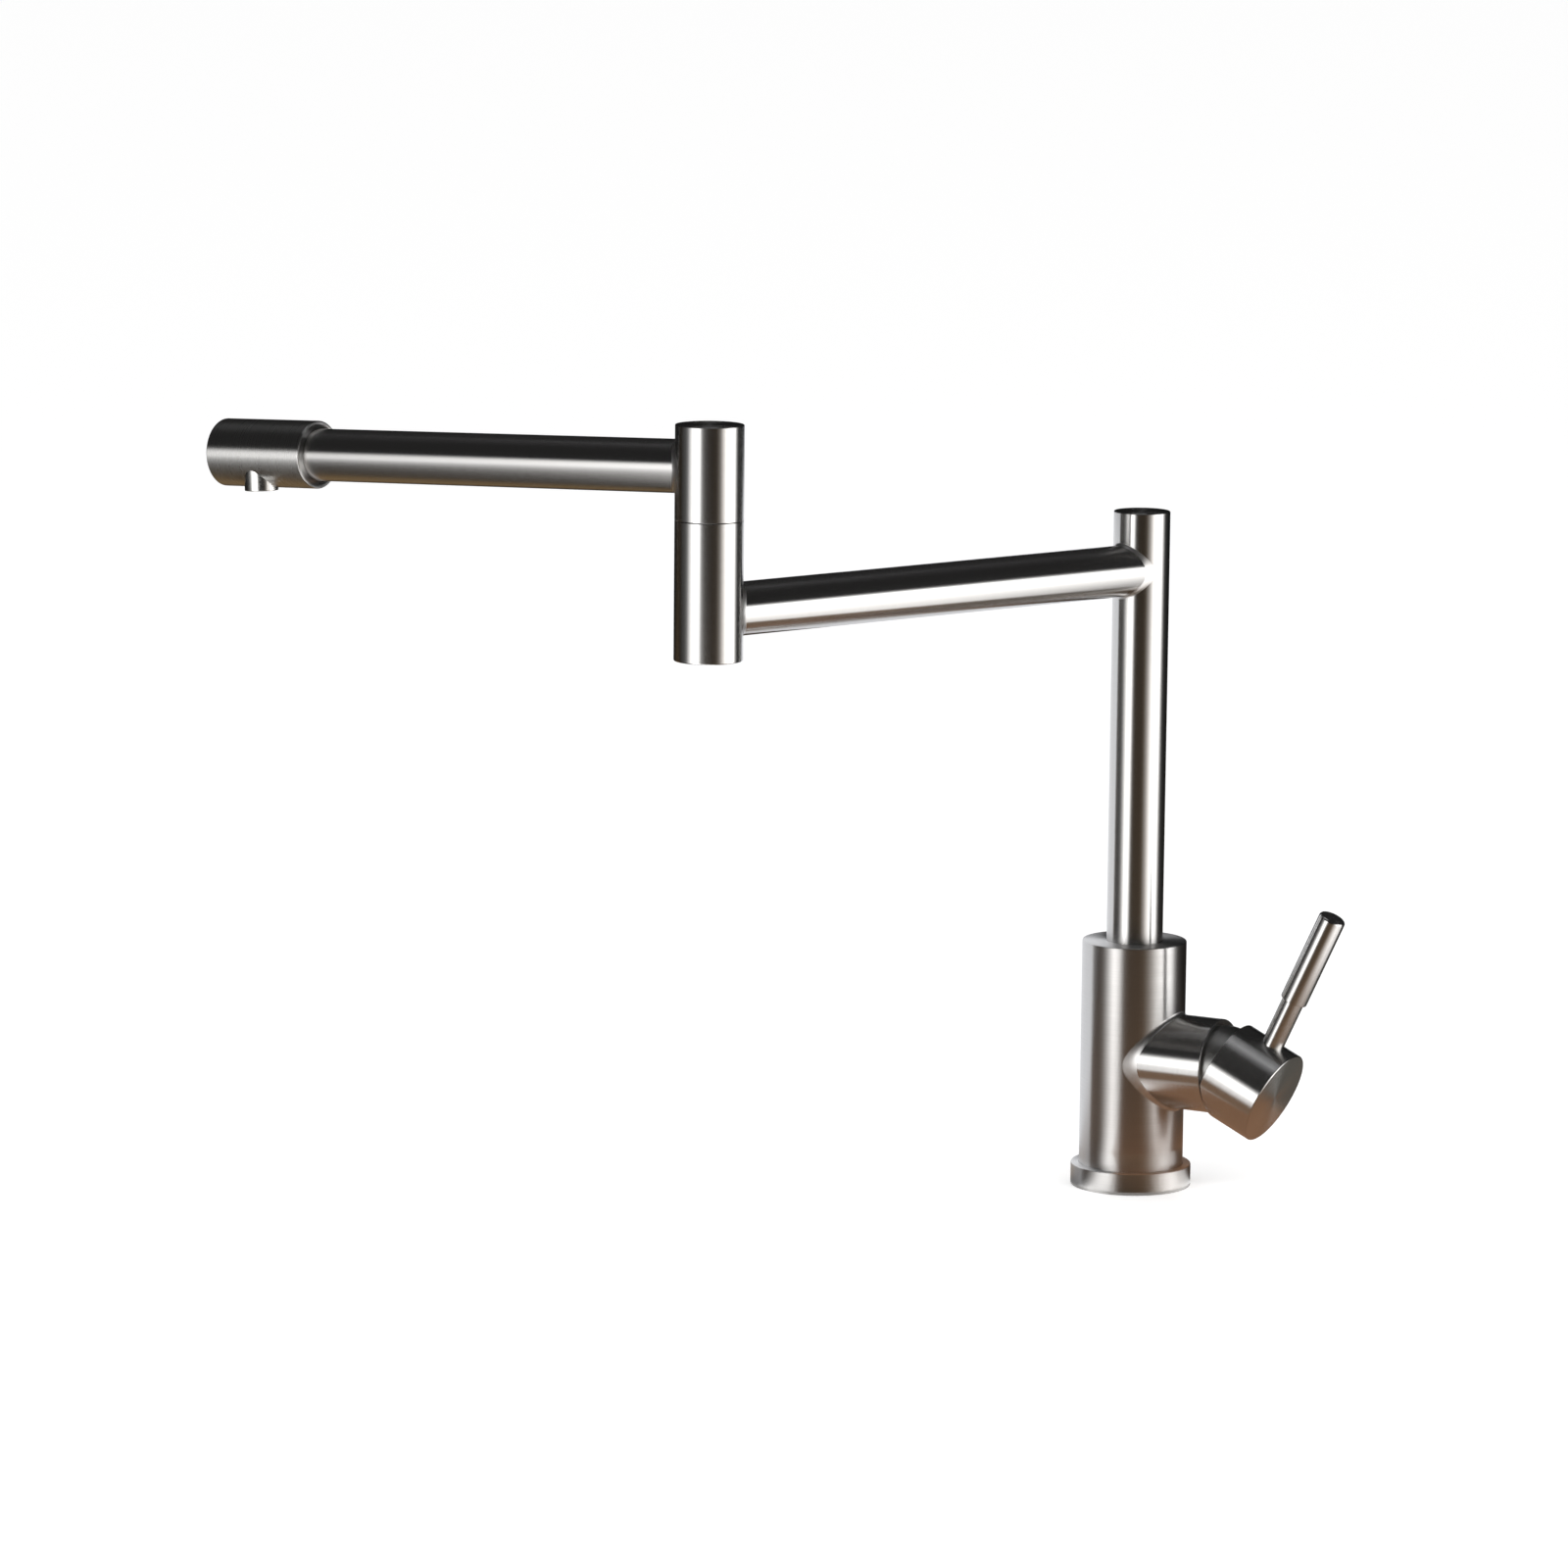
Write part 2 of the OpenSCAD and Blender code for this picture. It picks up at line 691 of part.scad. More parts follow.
// Brass spigot in the foot of the riser, which carries water up from the manifold
module riser_spigot() {
    foot_z = socket_z0 + spigot_foot_gap;
    color(brass) difference() {
        union() {
            translate([0, 0, riser_z0]) cylinder(r = riser_id / 2 - fixed_gap, h = spigot_plug_h);
            translate([0, 0, foot_z]) cylinder(d = spigot_journal_d, h = riser_z0 - foot_z + over);
        }
        translate([0, 0, foot_z - over]) cylinder(d = water_bore_d, h = 2 * socket_depth + spigot_plug_h);
        for (level = spigot_seals)
            tube(riser_d, spigot_journal_d / 2 - seal_cord,
                socket_z0 + level - seal_groove_w / 2, socket_z0 + level + seal_groove_w / 2);
    }
}

// Rubber rings in the spigot's grooves
module riser_o_rings() {
    color(rubber) for (level = spigot_seals)
        cord_ring(spigot_journal_d / 2 - seal_cord / 2 + fixed_gap / 2, seal_cord, socket_z0 + level);
}

// Lower arm tube, cut to the round of the riser and of the elbow
module lower_arm_tube() {
    color(steel) difference() {
        on_arm1() along_x() tube(arm_d / 2, arm_id / 2, 0, arm1_len);
        translate([0, 0, arm1_z - riser_d]) cylinder(d = riser_d, h = 2 * riser_d);
        at_elbow() translate([0, 0, arm1_z - elbow_d]) cylinder(d = elbow_d, h = 2 * elbow_d);
    }
}

// Fillets where the lower arm is welded to the riser and to the elbow
module lower_arm_welds() {
    color(steel) {
        on_arm1() saddle_fillet(arm_d, riser_d, riser_weld);
        at_elbow() translate([0, 0, arm1_z]) rotate([0, 0, arm1_heading + 180])
            saddle_fillet(arm_d, elbow_d, elbow_weld);
    }
}

// Lower sleeve of the elbow with the opening for the lower arm
module elbow_lower_sleeve() {
    color(steel) difference() {
        at_elbow() tube(elbow_d / 2, elbow_id / 2, elbow_z0 + end_cap_t, seam_z);
        on_arm1() along_x() cylinder(d = arm_id, h = arm1_len);
    }
}

// Cap in the bottom of the elbow
module elbow_bottom_cap() {
    color(steel) at_elbow() translate([0, 0, elbow_z0 + end_cap_t]) mirror([0, 0, 1])
        end_cap(elbow_d / 2, elbow_id / 2 - fixed_gap, end_cap_t, elbow_plug_t);
}

// Brass bush pressed into the lower sleeve, whose bore carries the journal
module elbow_socket() {
    color(brass) at_elbow()
        tube(
            elbow_id / 2 - fixed_gap, journal_d / 2 + turn_gap,
            seam_z - socket_len, seam_z + seam_gap - washer_t
        );
}

// Plastic washer in the seam
module elbow_washer() {
    color(grey_pom) at_elbow()
        tube(
            elbow_id / 2 - pass_gap, journal_d / 2 + turn_gap,
            seam_z + seam_gap - washer_t, seam_z + seam_gap
        );
}

// Hollow journal pressed into the upper sleeve, through which the water passes
module elbow_journal() {
    top_z = seam_z + seam_gap + journal_flange_h;
    foot_z = seam_z - socket_len - journal_tail;
    clip_z = seam_z - socket_len - circlip_gap - circlip_t;
    color(brass) at_elbow() difference() {
        union() {
            translate([0, 0, seam_z + seam_gap]) cylinder(r = elbow_id / 2 - fixed_gap, h = journal_flange_h);
            translate([0, 0, foot_z]) cylinder(d = journal_d, h = top_z - foot_z);
        }
        translate([0, 0, foot_z - over]) cylinder(d = water_bore_d, h = top_z - foot_z + 2 * over);
        for (level = elbow_seals)
            tube(elbow_d, journal_d / 2 - seal_cord,
                seam_z - level - seal_groove_w / 2, seam_z - level + seal_groove_w / 2);
        tube(elbow_d, journal_d / 2 - circlip_depth, clip_z - fixed_gap, clip_z + circlip_t + fixed_gap);
    }
}

// Rubber rings in the journal's grooves
module elbow_o_rings() {
    color(rubber) at_elbow() for (level = elbow_seals)
        cord_ring(journal_d / 2 - seal_cord / 2 + fixed_gap / 2, seal_cord, seam_z - level);
}

// Spring clip that keeps the journal in its socket
module elbow_circlip() {
    clip_z = seam_z - socket_len - circlip_gap - circlip_t;
    color(dark_steel) at_elbow() difference() {
        tube(
            journal_d / 2 + circlip_rim, journal_d / 2 - circlip_depth + fixed_gap,
            clip_z, clip_z + circlip_t
        );
        translate([0, -circlip_mouth / 2, clip_z - over])
            cube([elbow_d, circlip_mouth, circlip_t + 2 * over]);
    }
}

// Upper sleeve of the elbow with the opening for the upper arm
module elbow_upper_sleeve() {
    color(steel) difference() {
        at_elbow() tube(elbow_d / 2, elbow_id / 2, seam_z + seam_gap, elbow_z1 - end_cap_t);
        on_arm2() along_x() cylinder(d = arm_id, h = elbow_d);
    }
}

// Cap in the top of the elbow
module elbow_top_cap() {
    color(steel) at_elbow() translate([0, 0, elbow_z1 - end_cap_t])
        end_cap(elbow_d / 2, elbow_id / 2 - fixed_gap, end_cap_t, elbow_plug_t);
}

// Upper arm tube, cut to the round of the elbow
module upper_arm_tube() {
    color(steel) difference() {
        on_arm2() along_x() tube(arm_d / 2, arm_id / 2, 0, head_x0 + arm_socket_len);
        at_elbow() translate([0, 0, arm2_z - elbow_d]) cylinder(d = elbow_d, h = 2 * elbow_d);
    }
}

// Fillet where the upper arm is welded to the elbow
module upper_arm_weld() {
    color(steel) translate(elbow_pos + [0, 0, arm2_z]) rotate([0, 0, arm2_heading])
        saddle_fillet(arm_d, elbow_d, elbow_weld, arm2_fall);
}

// Turned outlet head: the arm plugs into its back and the aerator into its underside
module outlet_head() {
    chamber_r = head_d / 2 - head_wall;
    color(steel) on_arm2() difference() {
        along_x() rotate_extrude() polygon([
            [arm_d / 2 + fixed_gap, head_x0], [head_d / 2 - edge, head_x0], [head_d / 2, head_x0 + edge],
            [head_d / 2, head_x1 - edge], [head_d / 2 - edge, head_x1], [0, head_x1],
            [0, head_x1 - head_end_t], [chamber_r, head_x1 - head_end_t],
            [chamber_r, head_x0 + arm_socket_len], [arm_d / 2 + fixed_gap, head_x0 + arm_socket_len]
        ]);
        translate([outlet_reach, aerator_side, -head_d])
            cylinder(r = aerator_d / 2 + fixed_gap, h = head_d + aerator_top + pass_gap);
    }
}

// Polished sleeve screwed into the head's underside
module aerator_sleeve() {
    foot_z = -head_d / 2 - aerator_stand;
    inner_r = aerator_d / 2 - aerator_wall;
    color(steel) on_arm2() translate([outlet_reach, aerator_side, foot_z]) rotate_extrude() polygon([
        [inner_r - aerator_lip, 0], [aerator_d / 2 - edge / 2, 0], [aerator_d / 2, edge / 2],
        [aerator_d / 2, aerator_h], [inner_r, aerator_h], [inner_r, aerator_lip_h],
        [inner_r - aerator_lip, aerator_lip_h]
    ]);
}

// Plastic jet former with its rings of holes
module aerator_insert() {
    insert_r = aerator_d / 2 - aerator_wall - 2 * fixed_gap;
    color(white_pom) on_arm2()
        translate([outlet_reach, aerator_side, -head_d / 2 - aerator_stand + aerator_lip_h]) difference() {
            cylinder(r = insert_r, h = insert_h);
            for (ring = [0 : 2]) for (i = [0 : max(0, 6 * ring - 1)])
                rotate([0, 0, 60 * i / max(1, ring)]) translate([ring * insert_r / 3.6, 0, -over])
                    cylinder(d = insert_hole_d, h = insert_h + 2 * over, $fn = 16);
        }
}

// Rubber ring above the jet former
module aerator_seal() {
    seal_r = aerator_d / 2 - aerator_wall - 2 * fixed_gap;
    seal_z = -head_d / 2 - aerator_stand + aerator_lip_h + insert_h;
    color(rubber) on_arm2() translate([outlet_reach, aerator_side, seal_z])
        tube(seal_r, seal_r - aerator_seal_w, 0, aerator_seal_h);
}

// Rotor of the cartridge, slotted so that the stem can tilt in it
module cartridge_rotor() {
    slot_w = stem_block + pass_gap;
    slot_up = ball_at * sin(lever_open) + ball_d / 2 + pass_gap;
    slot_down = stem_block / 2 + 2 * pass_gap;
    mouth_down = (shell_neck_top + rotor_low) * sin(lever_open) + stem_block / 2 + 3 * pass_gap;
    mouth_up = stem_block / 2 / cos(lever_open) + pass_gap;
    color(white_pom) difference() {
        on_branch() union() {
            translate([0, 0, rotor_x0])
                cylinder(r = cavity_r - pass_gap, h = cavity_top_x - rotor_x0 - 2 * fixed_gap);
            translate([0, 0, rotor_x0]) cylinder(r = rotor_neck_r, h = shell_top_x - rotor_low - rotor_x0);
        }
        translate([rotor_x0 - over, -slot_w / 2, valve_h - slot_down])
            cube([pivot_x - rotor_x0 + over, slot_w, slot_down + slot_up]);
        translate([pivot_x - over, -slot_w / 2, valve_h - mouth_down])
            cube([2 * over + shell_top_x - pivot_x, slot_w, mouth_down + mouth_up]);
        translate([pivot_x, 0, valve_h]) rotate([90, 0, 0])
            cylinder(r = pin_d / 2 + fixed_gap, h = cartridge_d, center = true);
    }
}

// Pin that the stem tilts on
module stem_pin() {
    pin_len = 2 * (rotor_neck_r - pin_low);
    color(dark_steel) translate([pivot_x, 0, valve_h]) rotate([90, 0, 0])
        cylinder(d = pin_d, h = pin_len, center = true);
}

// Carrier that the stem's ball pushes across the fixed disc, drawn with the lever open
module disc_carrier() {
    ball_r = ball_d / 2 + pass_gap;
    color(white_pom) difference() {
        on_branch() translate([-disc_travel / 2, 0, carrier_x0]) cylinder(r = disc_r, h = carrier_t);
        on_branch() translate([-disc_travel, 0, carrier_x0 + carrier_floor])
            cylinder(r = ball_r, h = carrier_t);
    }
}

// Ceramic disc under the carrier, with the pocket that mixes the water
module moving_disc() {
    color(ceramic) on_branch() translate([-disc_travel / 2, 0, moving_x0]) difference() {
        cylinder(r = disc_r, h = moving_t);
        translate([0, 0, -over]) cylinder(r = disc_r - disc_pocket_wall, h = disc_pocket_t + over);
    }
}

// Stem of the cartridge: a square end for the hub, the pivot and the ball that moves the disc
module cartridge_stem() {
    color(dark_steel) in_lever() difference() {
        union() {
            translate([0, -stem_w / 2, -stem_w / 2]) cube([stem_end, stem_w, stem_w]);
            translate([-stem_block_back, -stem_w / 2, -stem_block / 2])
                cube([stem_block_back + stem_block_front, stem_w, stem_block]);
            translate([-ball_at, 0, 0]) along_x() cylinder(d = stem_arm_d, h = ball_at);
            translate([-ball_at, 0, 0]) sphere(d = ball_d);
        }
        rotate([90, 0, 0]) cylinder(r = pin_d / 2 + fixed_gap, h = 2 * stem_block, center = true);
    }
}

// Open rear of the lever hub, relieved so that its tilted edge lies along the housing's face
module hub_skirt() {
    skirt_x1 = hub_front_x + skirt_overlap;
    outer_r = hub_d / 2 - fixed_gap;
    hull() difference() {
        in_lever() along_x() rotate_extrude() polygon([
            [0, hub_back], [outer_r - edge / 2, hub_back], [outer_r, hub_back + edge / 2],
            [outer_r, skirt_x1], [0, skirt_x1]
        ]);
        translate([relief_x - hub_d, -hub_d, valve_h - 2 * hub_d]) cube([hub_d, 2 * hub_d, 4 * hub_d]);
    }
}

// Lever hub: a turned cap over the dome with a socket for the stem and a seat for the rod
module lever_hub() {
    socket_w = stem_w + 4 * fixed_gap;
    color(steel) difference() {
        union() {
            hub_skirt();
            in_lever() along_x() rotate_extrude() polygon([
                [0, hub_front_x], [hub_d / 2, hub_front_x],
                [hub_d / 2, hub_len - hub_edge], [hub_d / 2 - hub_edge, hub_len], [0, hub_len]
            ]);
        }
        in_lever() difference() {
            sphere(r = pocket_r);
            translate([boss_at, 0, 0]) along_x() cylinder(d = boss_d, h = pocket_r);
        }
        in_lever() {
            translate([boss_at - over, -socket_w / 2, -socket_w / 2])
                cube([stem_end - boss_at + over + fixed_gap, socket_w, socket_w]);
            translate([rod_at, 0, rod_seat_r]) cylinder(r = rod_d / 2 + fixed_gap, h = hub_d);
            translate([rod_at, 0, tang_floor_r]) cylinder(r = tang_d / 2 + fixed_gap, h = hub_d);
            translate([hub_screw_at, 0, -hub_d]) cylinder(r = screw_d / 2 + fixed_gap, h = hub_d);
            translate([hub_screw_at, 0, -hub_d - rod_seat_r + plug_t])
                cylinder(r = plug_d / 2 + fixed_gap, h = hub_d);
        }
    }
}

// Lever rod with the tang that screws into the hub
module lever_rod() {
    color(steel) in_lever() translate([rod_at, 0, 0]) {
        translate([0, 0, rod_seat_r]) cylinder(d = rod_d, h = rod_z1 - rod_seat_r);
        translate([0, 0, tang_floor_r + pass_gap]) cylinder(d = tang_d, h = rod_seat_r - tang_floor_r);
    }
}

// Grip pushed over the rod, rounded at its top
module lever_grip() {
    grip_r = grip_d / 2;
    bore_r = rod_d / 2 + fixed_gap;
    arc = [for (turn = [0 : 15 : 90])
        [grip_r - grip_round * (1 - cos(turn)), grip_z1 - grip_round * (1 - sin(turn))]];
    color(steel) in_lever() translate([rod_at, 0, 0]) rotate_extrude() polygon(concat(
        [[bore_r, grip_z0], [grip_r - edge / 2, grip_z0], [grip_r, grip_z0 + edge / 2]],
        arc,
        [[0, grip_z1], [0, rod_z1 + fixed_gap], [bore_r, rod_z1 + fixed_gap]]
    ));
}

// Grub screw that clamps the hub on the stem
module hub_grub_screw() {
    top_z = -stem_w / 2 - fixed_gap;
    color(dark_steel) in_lever() translate([hub_screw_at, 0, top_z - hub_screw_len]) difference() {
        cylinder(d = screw_d, h = hub_screw_len);
        translate([0, 0, -over]) cylinder(d = screw_d / 2, h = screw_key_depth + over, $fn = 6);
    }
}

// Plug over the grub screw's hole
module hub_plug() {
    color(grey_pom) in_lever() translate([hub_screw_at, 0, -rod_seat_r])
        cylinder(d = plug_d, h = plug_t - fixed_gap);
}

base_flange();
base_gasket();
fixing_plate();
body_shell();
body_cap();
side_housing();
housing_weld();
manifold();
cartridge_seat();
cartridge_base();
cartridge_seals();
fixed_disc();
cartridge_shell();
retaining_nut();
dome_ring();
spout_grub_screw();
fixing_stud();
rubber_washer();
clamp_plate();
clamp_nut();
riser_slip_ring();
riser_tube();
riser_cap();
riser_spigot();
riser_o_rings();
lower_arm_tube();
lower_arm_welds();
elbow_lower_sleeve();
elbow_bottom_cap();
elbow_socket();
elbow_washer();
elbow_journal();
elbow_o_rings();
elbow_circlip();
elbow_upper_sleeve();
elbow_top_cap();
upper_arm_tube();
upper_arm_weld();
outlet_head();
aerator_sleeve();
aerator_insert();
aerator_seal();
cartridge_rotor();
stem_pin();
disc_carrier();
moving_disc();
cartridge_stem();
lever_hub();
lever_rod();
lever_grip();
hub_grub_screw();
hub_plug();
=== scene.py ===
from math import atan2, cos, hypot, pi, radians, sin

import bmesh
import bpy
from mathutils import Matrix, Vector


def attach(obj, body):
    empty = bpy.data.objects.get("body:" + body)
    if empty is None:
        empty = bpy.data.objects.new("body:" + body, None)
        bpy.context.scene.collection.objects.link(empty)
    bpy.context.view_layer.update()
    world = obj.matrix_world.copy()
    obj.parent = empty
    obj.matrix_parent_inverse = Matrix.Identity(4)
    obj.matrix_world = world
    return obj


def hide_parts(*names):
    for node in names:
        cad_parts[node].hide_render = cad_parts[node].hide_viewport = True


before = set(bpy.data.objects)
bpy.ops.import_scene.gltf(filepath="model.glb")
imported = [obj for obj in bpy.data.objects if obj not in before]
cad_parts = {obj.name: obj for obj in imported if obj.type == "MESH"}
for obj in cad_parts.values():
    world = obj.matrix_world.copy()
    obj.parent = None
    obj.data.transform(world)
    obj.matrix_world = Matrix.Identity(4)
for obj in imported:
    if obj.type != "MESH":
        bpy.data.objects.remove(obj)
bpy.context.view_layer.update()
scene = bpy.context.scene


# Base flange: a turned ring of stainless steel that the body stands in, with a groove
# underneath for its rubber gasket. It is brushed on the lathe, so the grain runs round it.
mm = 0.001
same_spot, merge_gap = 1e-6, 1e-7
turning_steps = 128
hard_edge = radians(35)
flat_end = 0.7
grain_map, grain_length = "turning", 0.1
broad_streaks, fine_streaks = (220, 2.5), (700, 7)
streak_depth = 0.00005
steel_tone = (0.60, 0.59, 0.578)


def lay_grain(shape, seam):
    """Maps a turned surface for its grain: along the piece first, once round it second."""
    grain = shape.loops.layers.uv.new(grain_map)
    for face in shape.faces:
        middle = face.calc_center_median()
        around = atan2(middle.y, middle.x)
        for loop in face.loops:
            at = loop.vert.co
            radius = hypot(at.x, at.y)
            swing = (atan2(at.y, at.x) - around + pi) % (2 * pi) - pi if radius > same_spot else 0
            along = radius if abs(face.normal.z) > flat_end else at.z
            turn = (around - radians(seam)) % (2 * pi) + swing
            loop[grain].uv = (along / grain_length, turn / (2 * pi))


def turned(name, outline, place=Matrix(), seam=90):
    """Turns an outline of (radius, height[, edge radius]) about the place's Z axis, in millimetres.

    The grain map is closed at the seam, an angle in degrees round that axis.
    """
    shape = bmesh.new()
    corners = [shape.verts.new((p[0] * mm, 0, p[1] * mm)) for p in outline]
    ahead = corners[1:]
    if outline[0][0] and outline[-1][0]:
        ahead.append(corners[0])
    sides = [shape.edges.new(pair) for pair in zip(corners, ahead)]
    bmesh.ops.spin(shape, geom=corners + sides, cent=(0, 0, 0), axis=(0, 0, 1), dvec=(0, 0, 0),
                   angle=2 * pi, steps=turning_steps, use_merge=True)
    bmesh.ops.remove_doubles(shape, verts=shape.verts[:], dist=merge_gap)
    bmesh.ops.recalc_face_normals(shape, faces=shape.faces[:])
    for radius, height, *rounding in outline:
        if not rounding:
            continue
        ring = [
            e for e in shape.edges
            if all(abs(hypot(v.co.x, v.co.y) - radius * mm) < same_spot
                   and abs(v.co.z - height * mm) < same_spot for v in e.verts)
        ]
        bmesh.ops.bevel(shape, geom=ring, offset=rounding[0] * mm, segments=4, profile=0.5,
                        affect="EDGES", material=-1)
    shape.normal_update()
    lay_grain(shape, seam)
    bmesh.ops.transform(shape, matrix=place, verts=shape.verts[:])
    return finished(name, shape)


def finished(name, shape):
    """Makes a smooth-shaded object of a bmesh, with its hard edges kept."""
    mesh = bpy.data.meshes.new(name)
    shape.to_mesh(mesh)
    shape.free()
    for face in mesh.polygons:
        face.use_smooth = True
    mesh.set_sharp_from_angle(angle=hard_edge)
    piece = bpy.data.objects.new(name, mesh)
    scene.collection.objects.link(piece)
    normals = piece.modifiers.new("even shading", "WEIGHTED_NORMAL")
    normals.keep_sharp = True
    return piece


def two_tones(tree, dark, light):
    """A ramp between two close tones of one finish."""
    ramp = tree.nodes.new("ShaderNodeValToRGB")
    for stop, position, tone in zip(ramp.color_ramp.elements, (0.3, 0.7), (dark, light)):
        stop.position = position
        stop.color = (*tone, 1)
    return ramp


def brushed_steel(name, dull, stretch, grain, tone=steel_tone):
    """Stainless steel brushed round the piece: fine streaks along the grain map's second axis."""
    steel = bpy.data.materials.new(name)
    steel.use_nodes = True
    tree = steel.node_tree
    shader = tree.nodes["Principled BSDF"]
    shader.inputs["Metallic"].default_value = 1.0
    shader.inputs["Anisotropic"].default_value = stretch
    lay = tree.nodes.new("ShaderNodeTangent")
    lay.direction_type = "UV_MAP"
    lay.uv_map = grain_map
    tree.links.new(lay.outputs["Tangent"], shader.inputs["Tangent"])
    streak_map = tree.nodes.new("ShaderNodeUVMap")
    streak_map.uv_map = grain_map
    streaks = []
    for across, around in (broad_streaks, fine_streaks):
        mapping = tree.nodes.new("ShaderNodeMapping")
        mapping.inputs["Scale"].default_value = (across, around, 1)
        noise = tree.nodes.new("ShaderNodeTexNoise")
        noise.inputs["Scale"].default_value = 1.0
        noise.inputs["Detail"].default_value = 3.0
        tree.links.new(streak_map.outputs["UV"], mapping.inputs["Vector"])
        tree.links.new(mapping.outputs["Vector"], noise.inputs["Vector"])
        streaks.append(noise.outputs["Fac"])
    broad, fine = streaks
    rough = tree.nodes.new("ShaderNodeMapRange")
    rough.inputs["From Min"].default_value = 0.25
    rough.inputs["From Max"].default_value = 0.75
    rough.inputs["To Min"].default_value = dull * (1 - 0.12 * grain)
    rough.inputs["To Max"].default_value = dull * (1 + 0.15 * grain)
    tree.links.new(broad, rough.inputs["Value"])
    tree.links.new(rough.outputs["Result"], shader.inputs["Roughness"])
    tint = two_tones(tree, [c * (1 - 0.10 * grain) for c in tone],
                     [min(1, c * (1 + 0.05 * grain)) for c in tone])
    tree.links.new(fine, tint.inputs["Fac"])
    tree.links.new(tint.outputs["Color"], shader.inputs["Base Color"])
    relief = tree.nodes.new("ShaderNodeBump")
    relief.inputs["Strength"].default_value = 0.02 * grain
    relief.inputs["Distance"].default_value = streak_depth
    tree.links.new(broad, relief.inputs["Height"])
    tree.links.new(relief.outputs["Normal"], shader.inputs["Normal"])
    return steel


def dress(piece, material, body, slot, *stands_for):
    """Gives a piece its finish, the body that it moves with and the CAD nodes that it stands for."""
    piece.data.materials.clear()
    piece.data.materials.append(material)
    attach(piece, body)
    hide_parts(*stands_for)


flange_r, flange_h, flange_bore_r = 30, 11, 26.05
groove_r, groove_in_r, groove_h = 28.95, 26.65, 1.95
body_in_r, body_foot = 24, 3
ground_edge, foot_edge, crisp_edge = 0.6, 0.25, 0.2
body_steel = brushed_steel("body_steel", dull=0.34, stretch=0.97, grain=0.8)
flange = turned("flange_turned", [
    (body_in_r, 0), (groove_in_r, 0), (groove_in_r, groove_h), (groove_r, groove_h), (groove_r, 0),
    (flange_r, 0, foot_edge), (flange_r, flange_h, ground_edge), (flange_bore_r, flange_h, crisp_edge),
    (flange_bore_r, body_foot), (body_in_r, body_foot)
])
dress(flange, body_steel, "body", "brushed_stainless", "base_flange")


# Gasket, horseshoe washer and seals: black rubber, moulded, with a dry matt skin. The gasket
# lies in the flange's groove, the washer presses on the deck from below, the seals are inside.
pore_depth = 0.0001


def node_finish(material, *names):
    """Gives CAD nodes a finish."""
    for name in names:
        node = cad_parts[name]
        node.data.materials.clear()
        node.data.materials.append(material)


def mottled(name, low, high, scale, dull, metallic=0.0, bump=0.1):
    """A finish whose tone and surface vary a little from place to place."""
    material = bpy.data.materials.new(name)
    material.use_nodes = True
    tree = material.node_tree
    shader = tree.nodes["Principled BSDF"]
    shader.inputs["Metallic"].default_value = metallic
    where = tree.nodes.new("ShaderNodeTexCoord")
    noise = tree.nodes.new("ShaderNodeTexNoise")
    noise.inputs["Scale"].default_value = scale
    noise.inputs["Detail"].default_value = 4.0
    tree.links.new(where.outputs["Object"], noise.inputs["Vector"])
    tint = two_tones(tree, low, high)
    rough = tree.nodes.new("ShaderNodeMapRange")
    rough.inputs["To Min"].default_value = dull[0]
    rough.inputs["To Max"].default_value = dull[1]
    relief = tree.nodes.new("ShaderNodeBump")
    relief.inputs["Strength"].default_value = bump
    relief.inputs["Distance"].default_value = pore_depth
    tree.links.new(noise.outputs["Fac"], tint.inputs["Fac"])
    tree.links.new(noise.outputs["Fac"], rough.inputs["Value"])
    tree.links.new(noise.outputs["Fac"], relief.inputs["Height"])
    tree.links.new(tint.outputs["Color"], shader.inputs["Base Color"])
    tree.links.new(rough.outputs["Result"], shader.inputs["Roughness"])
    tree.links.new(relief.outputs["Normal"], shader.inputs["Normal"])
    return material


rubber = mottled("black_rubber", (0.012, 0.012, 0.012), (0.03, 0.03, 0.03), 900, (0.6, 0.8), bump=0.3)
node_finish(rubber, "base_gasket", "rubber_washer", "riser_o_rings", "elbow_o_rings", "aerator_seal",
            "cartridge_seals")


# Fixing kit: the plate in the body's foot, the long stud and the clamp plate are zinc-plated
# steel, bright grey with a faint cloudiness. So are the grub screws, the circlip and the pin.
plated = mottled("zinc_plated_steel", (0.42, 0.43, 0.44), (0.58, 0.59, 0.60), 260, (0.28, 0.45),
                 metallic=1.0, bump=0.15)
node_finish(plated, "fixing_plate", "clamp_plate", "spout_grub_screw", "hub_grub_screw",
            "elbow_circlip", "stem_pin")

thread_pitch = 1.25
wave_radians = 20
thread = plated.copy()
thread.name = "zinc_plated_thread"
tree = thread.node_tree
where = tree.nodes.new("ShaderNodeTexCoord")
turns = tree.nodes.new("ShaderNodeTexWave")
turns.wave_type = "BANDS"
turns.bands_direction = "Z"
turns.wave_profile = "TRI"
turns.inputs["Scale"].default_value = 2 * pi / (wave_radians * thread_pitch * mm)
ridges = tree.nodes.new("ShaderNodeBump")
ridges.inputs["Strength"].default_value = 0.9
ridges.inputs["Distance"].default_value = 0.0006
tree.links.new(where.outputs["Object"], turns.inputs["Vector"])
tree.links.new(turns.outputs["Fac"], ridges.inputs["Height"])
tree.links.new(ridges.outputs["Normal"], tree.nodes["Principled BSDF"].inputs["Normal"])
node_finish(thread, "fixing_stud")


# Body: a 52 mm stainless steel tube with a turned cap pressed into its top, ground flush and
# brushed round. A grub screw in a hole at the back holds the riser in the cap's bearing.
body_r, body_top = 26, 124
bearing_r, bearing_foot = 14.08, 108
broken_edge = 0.3
screw_z, screw_hole_r, screw_hole_start, screw_hole_end = 114, 2.55, 12, 30


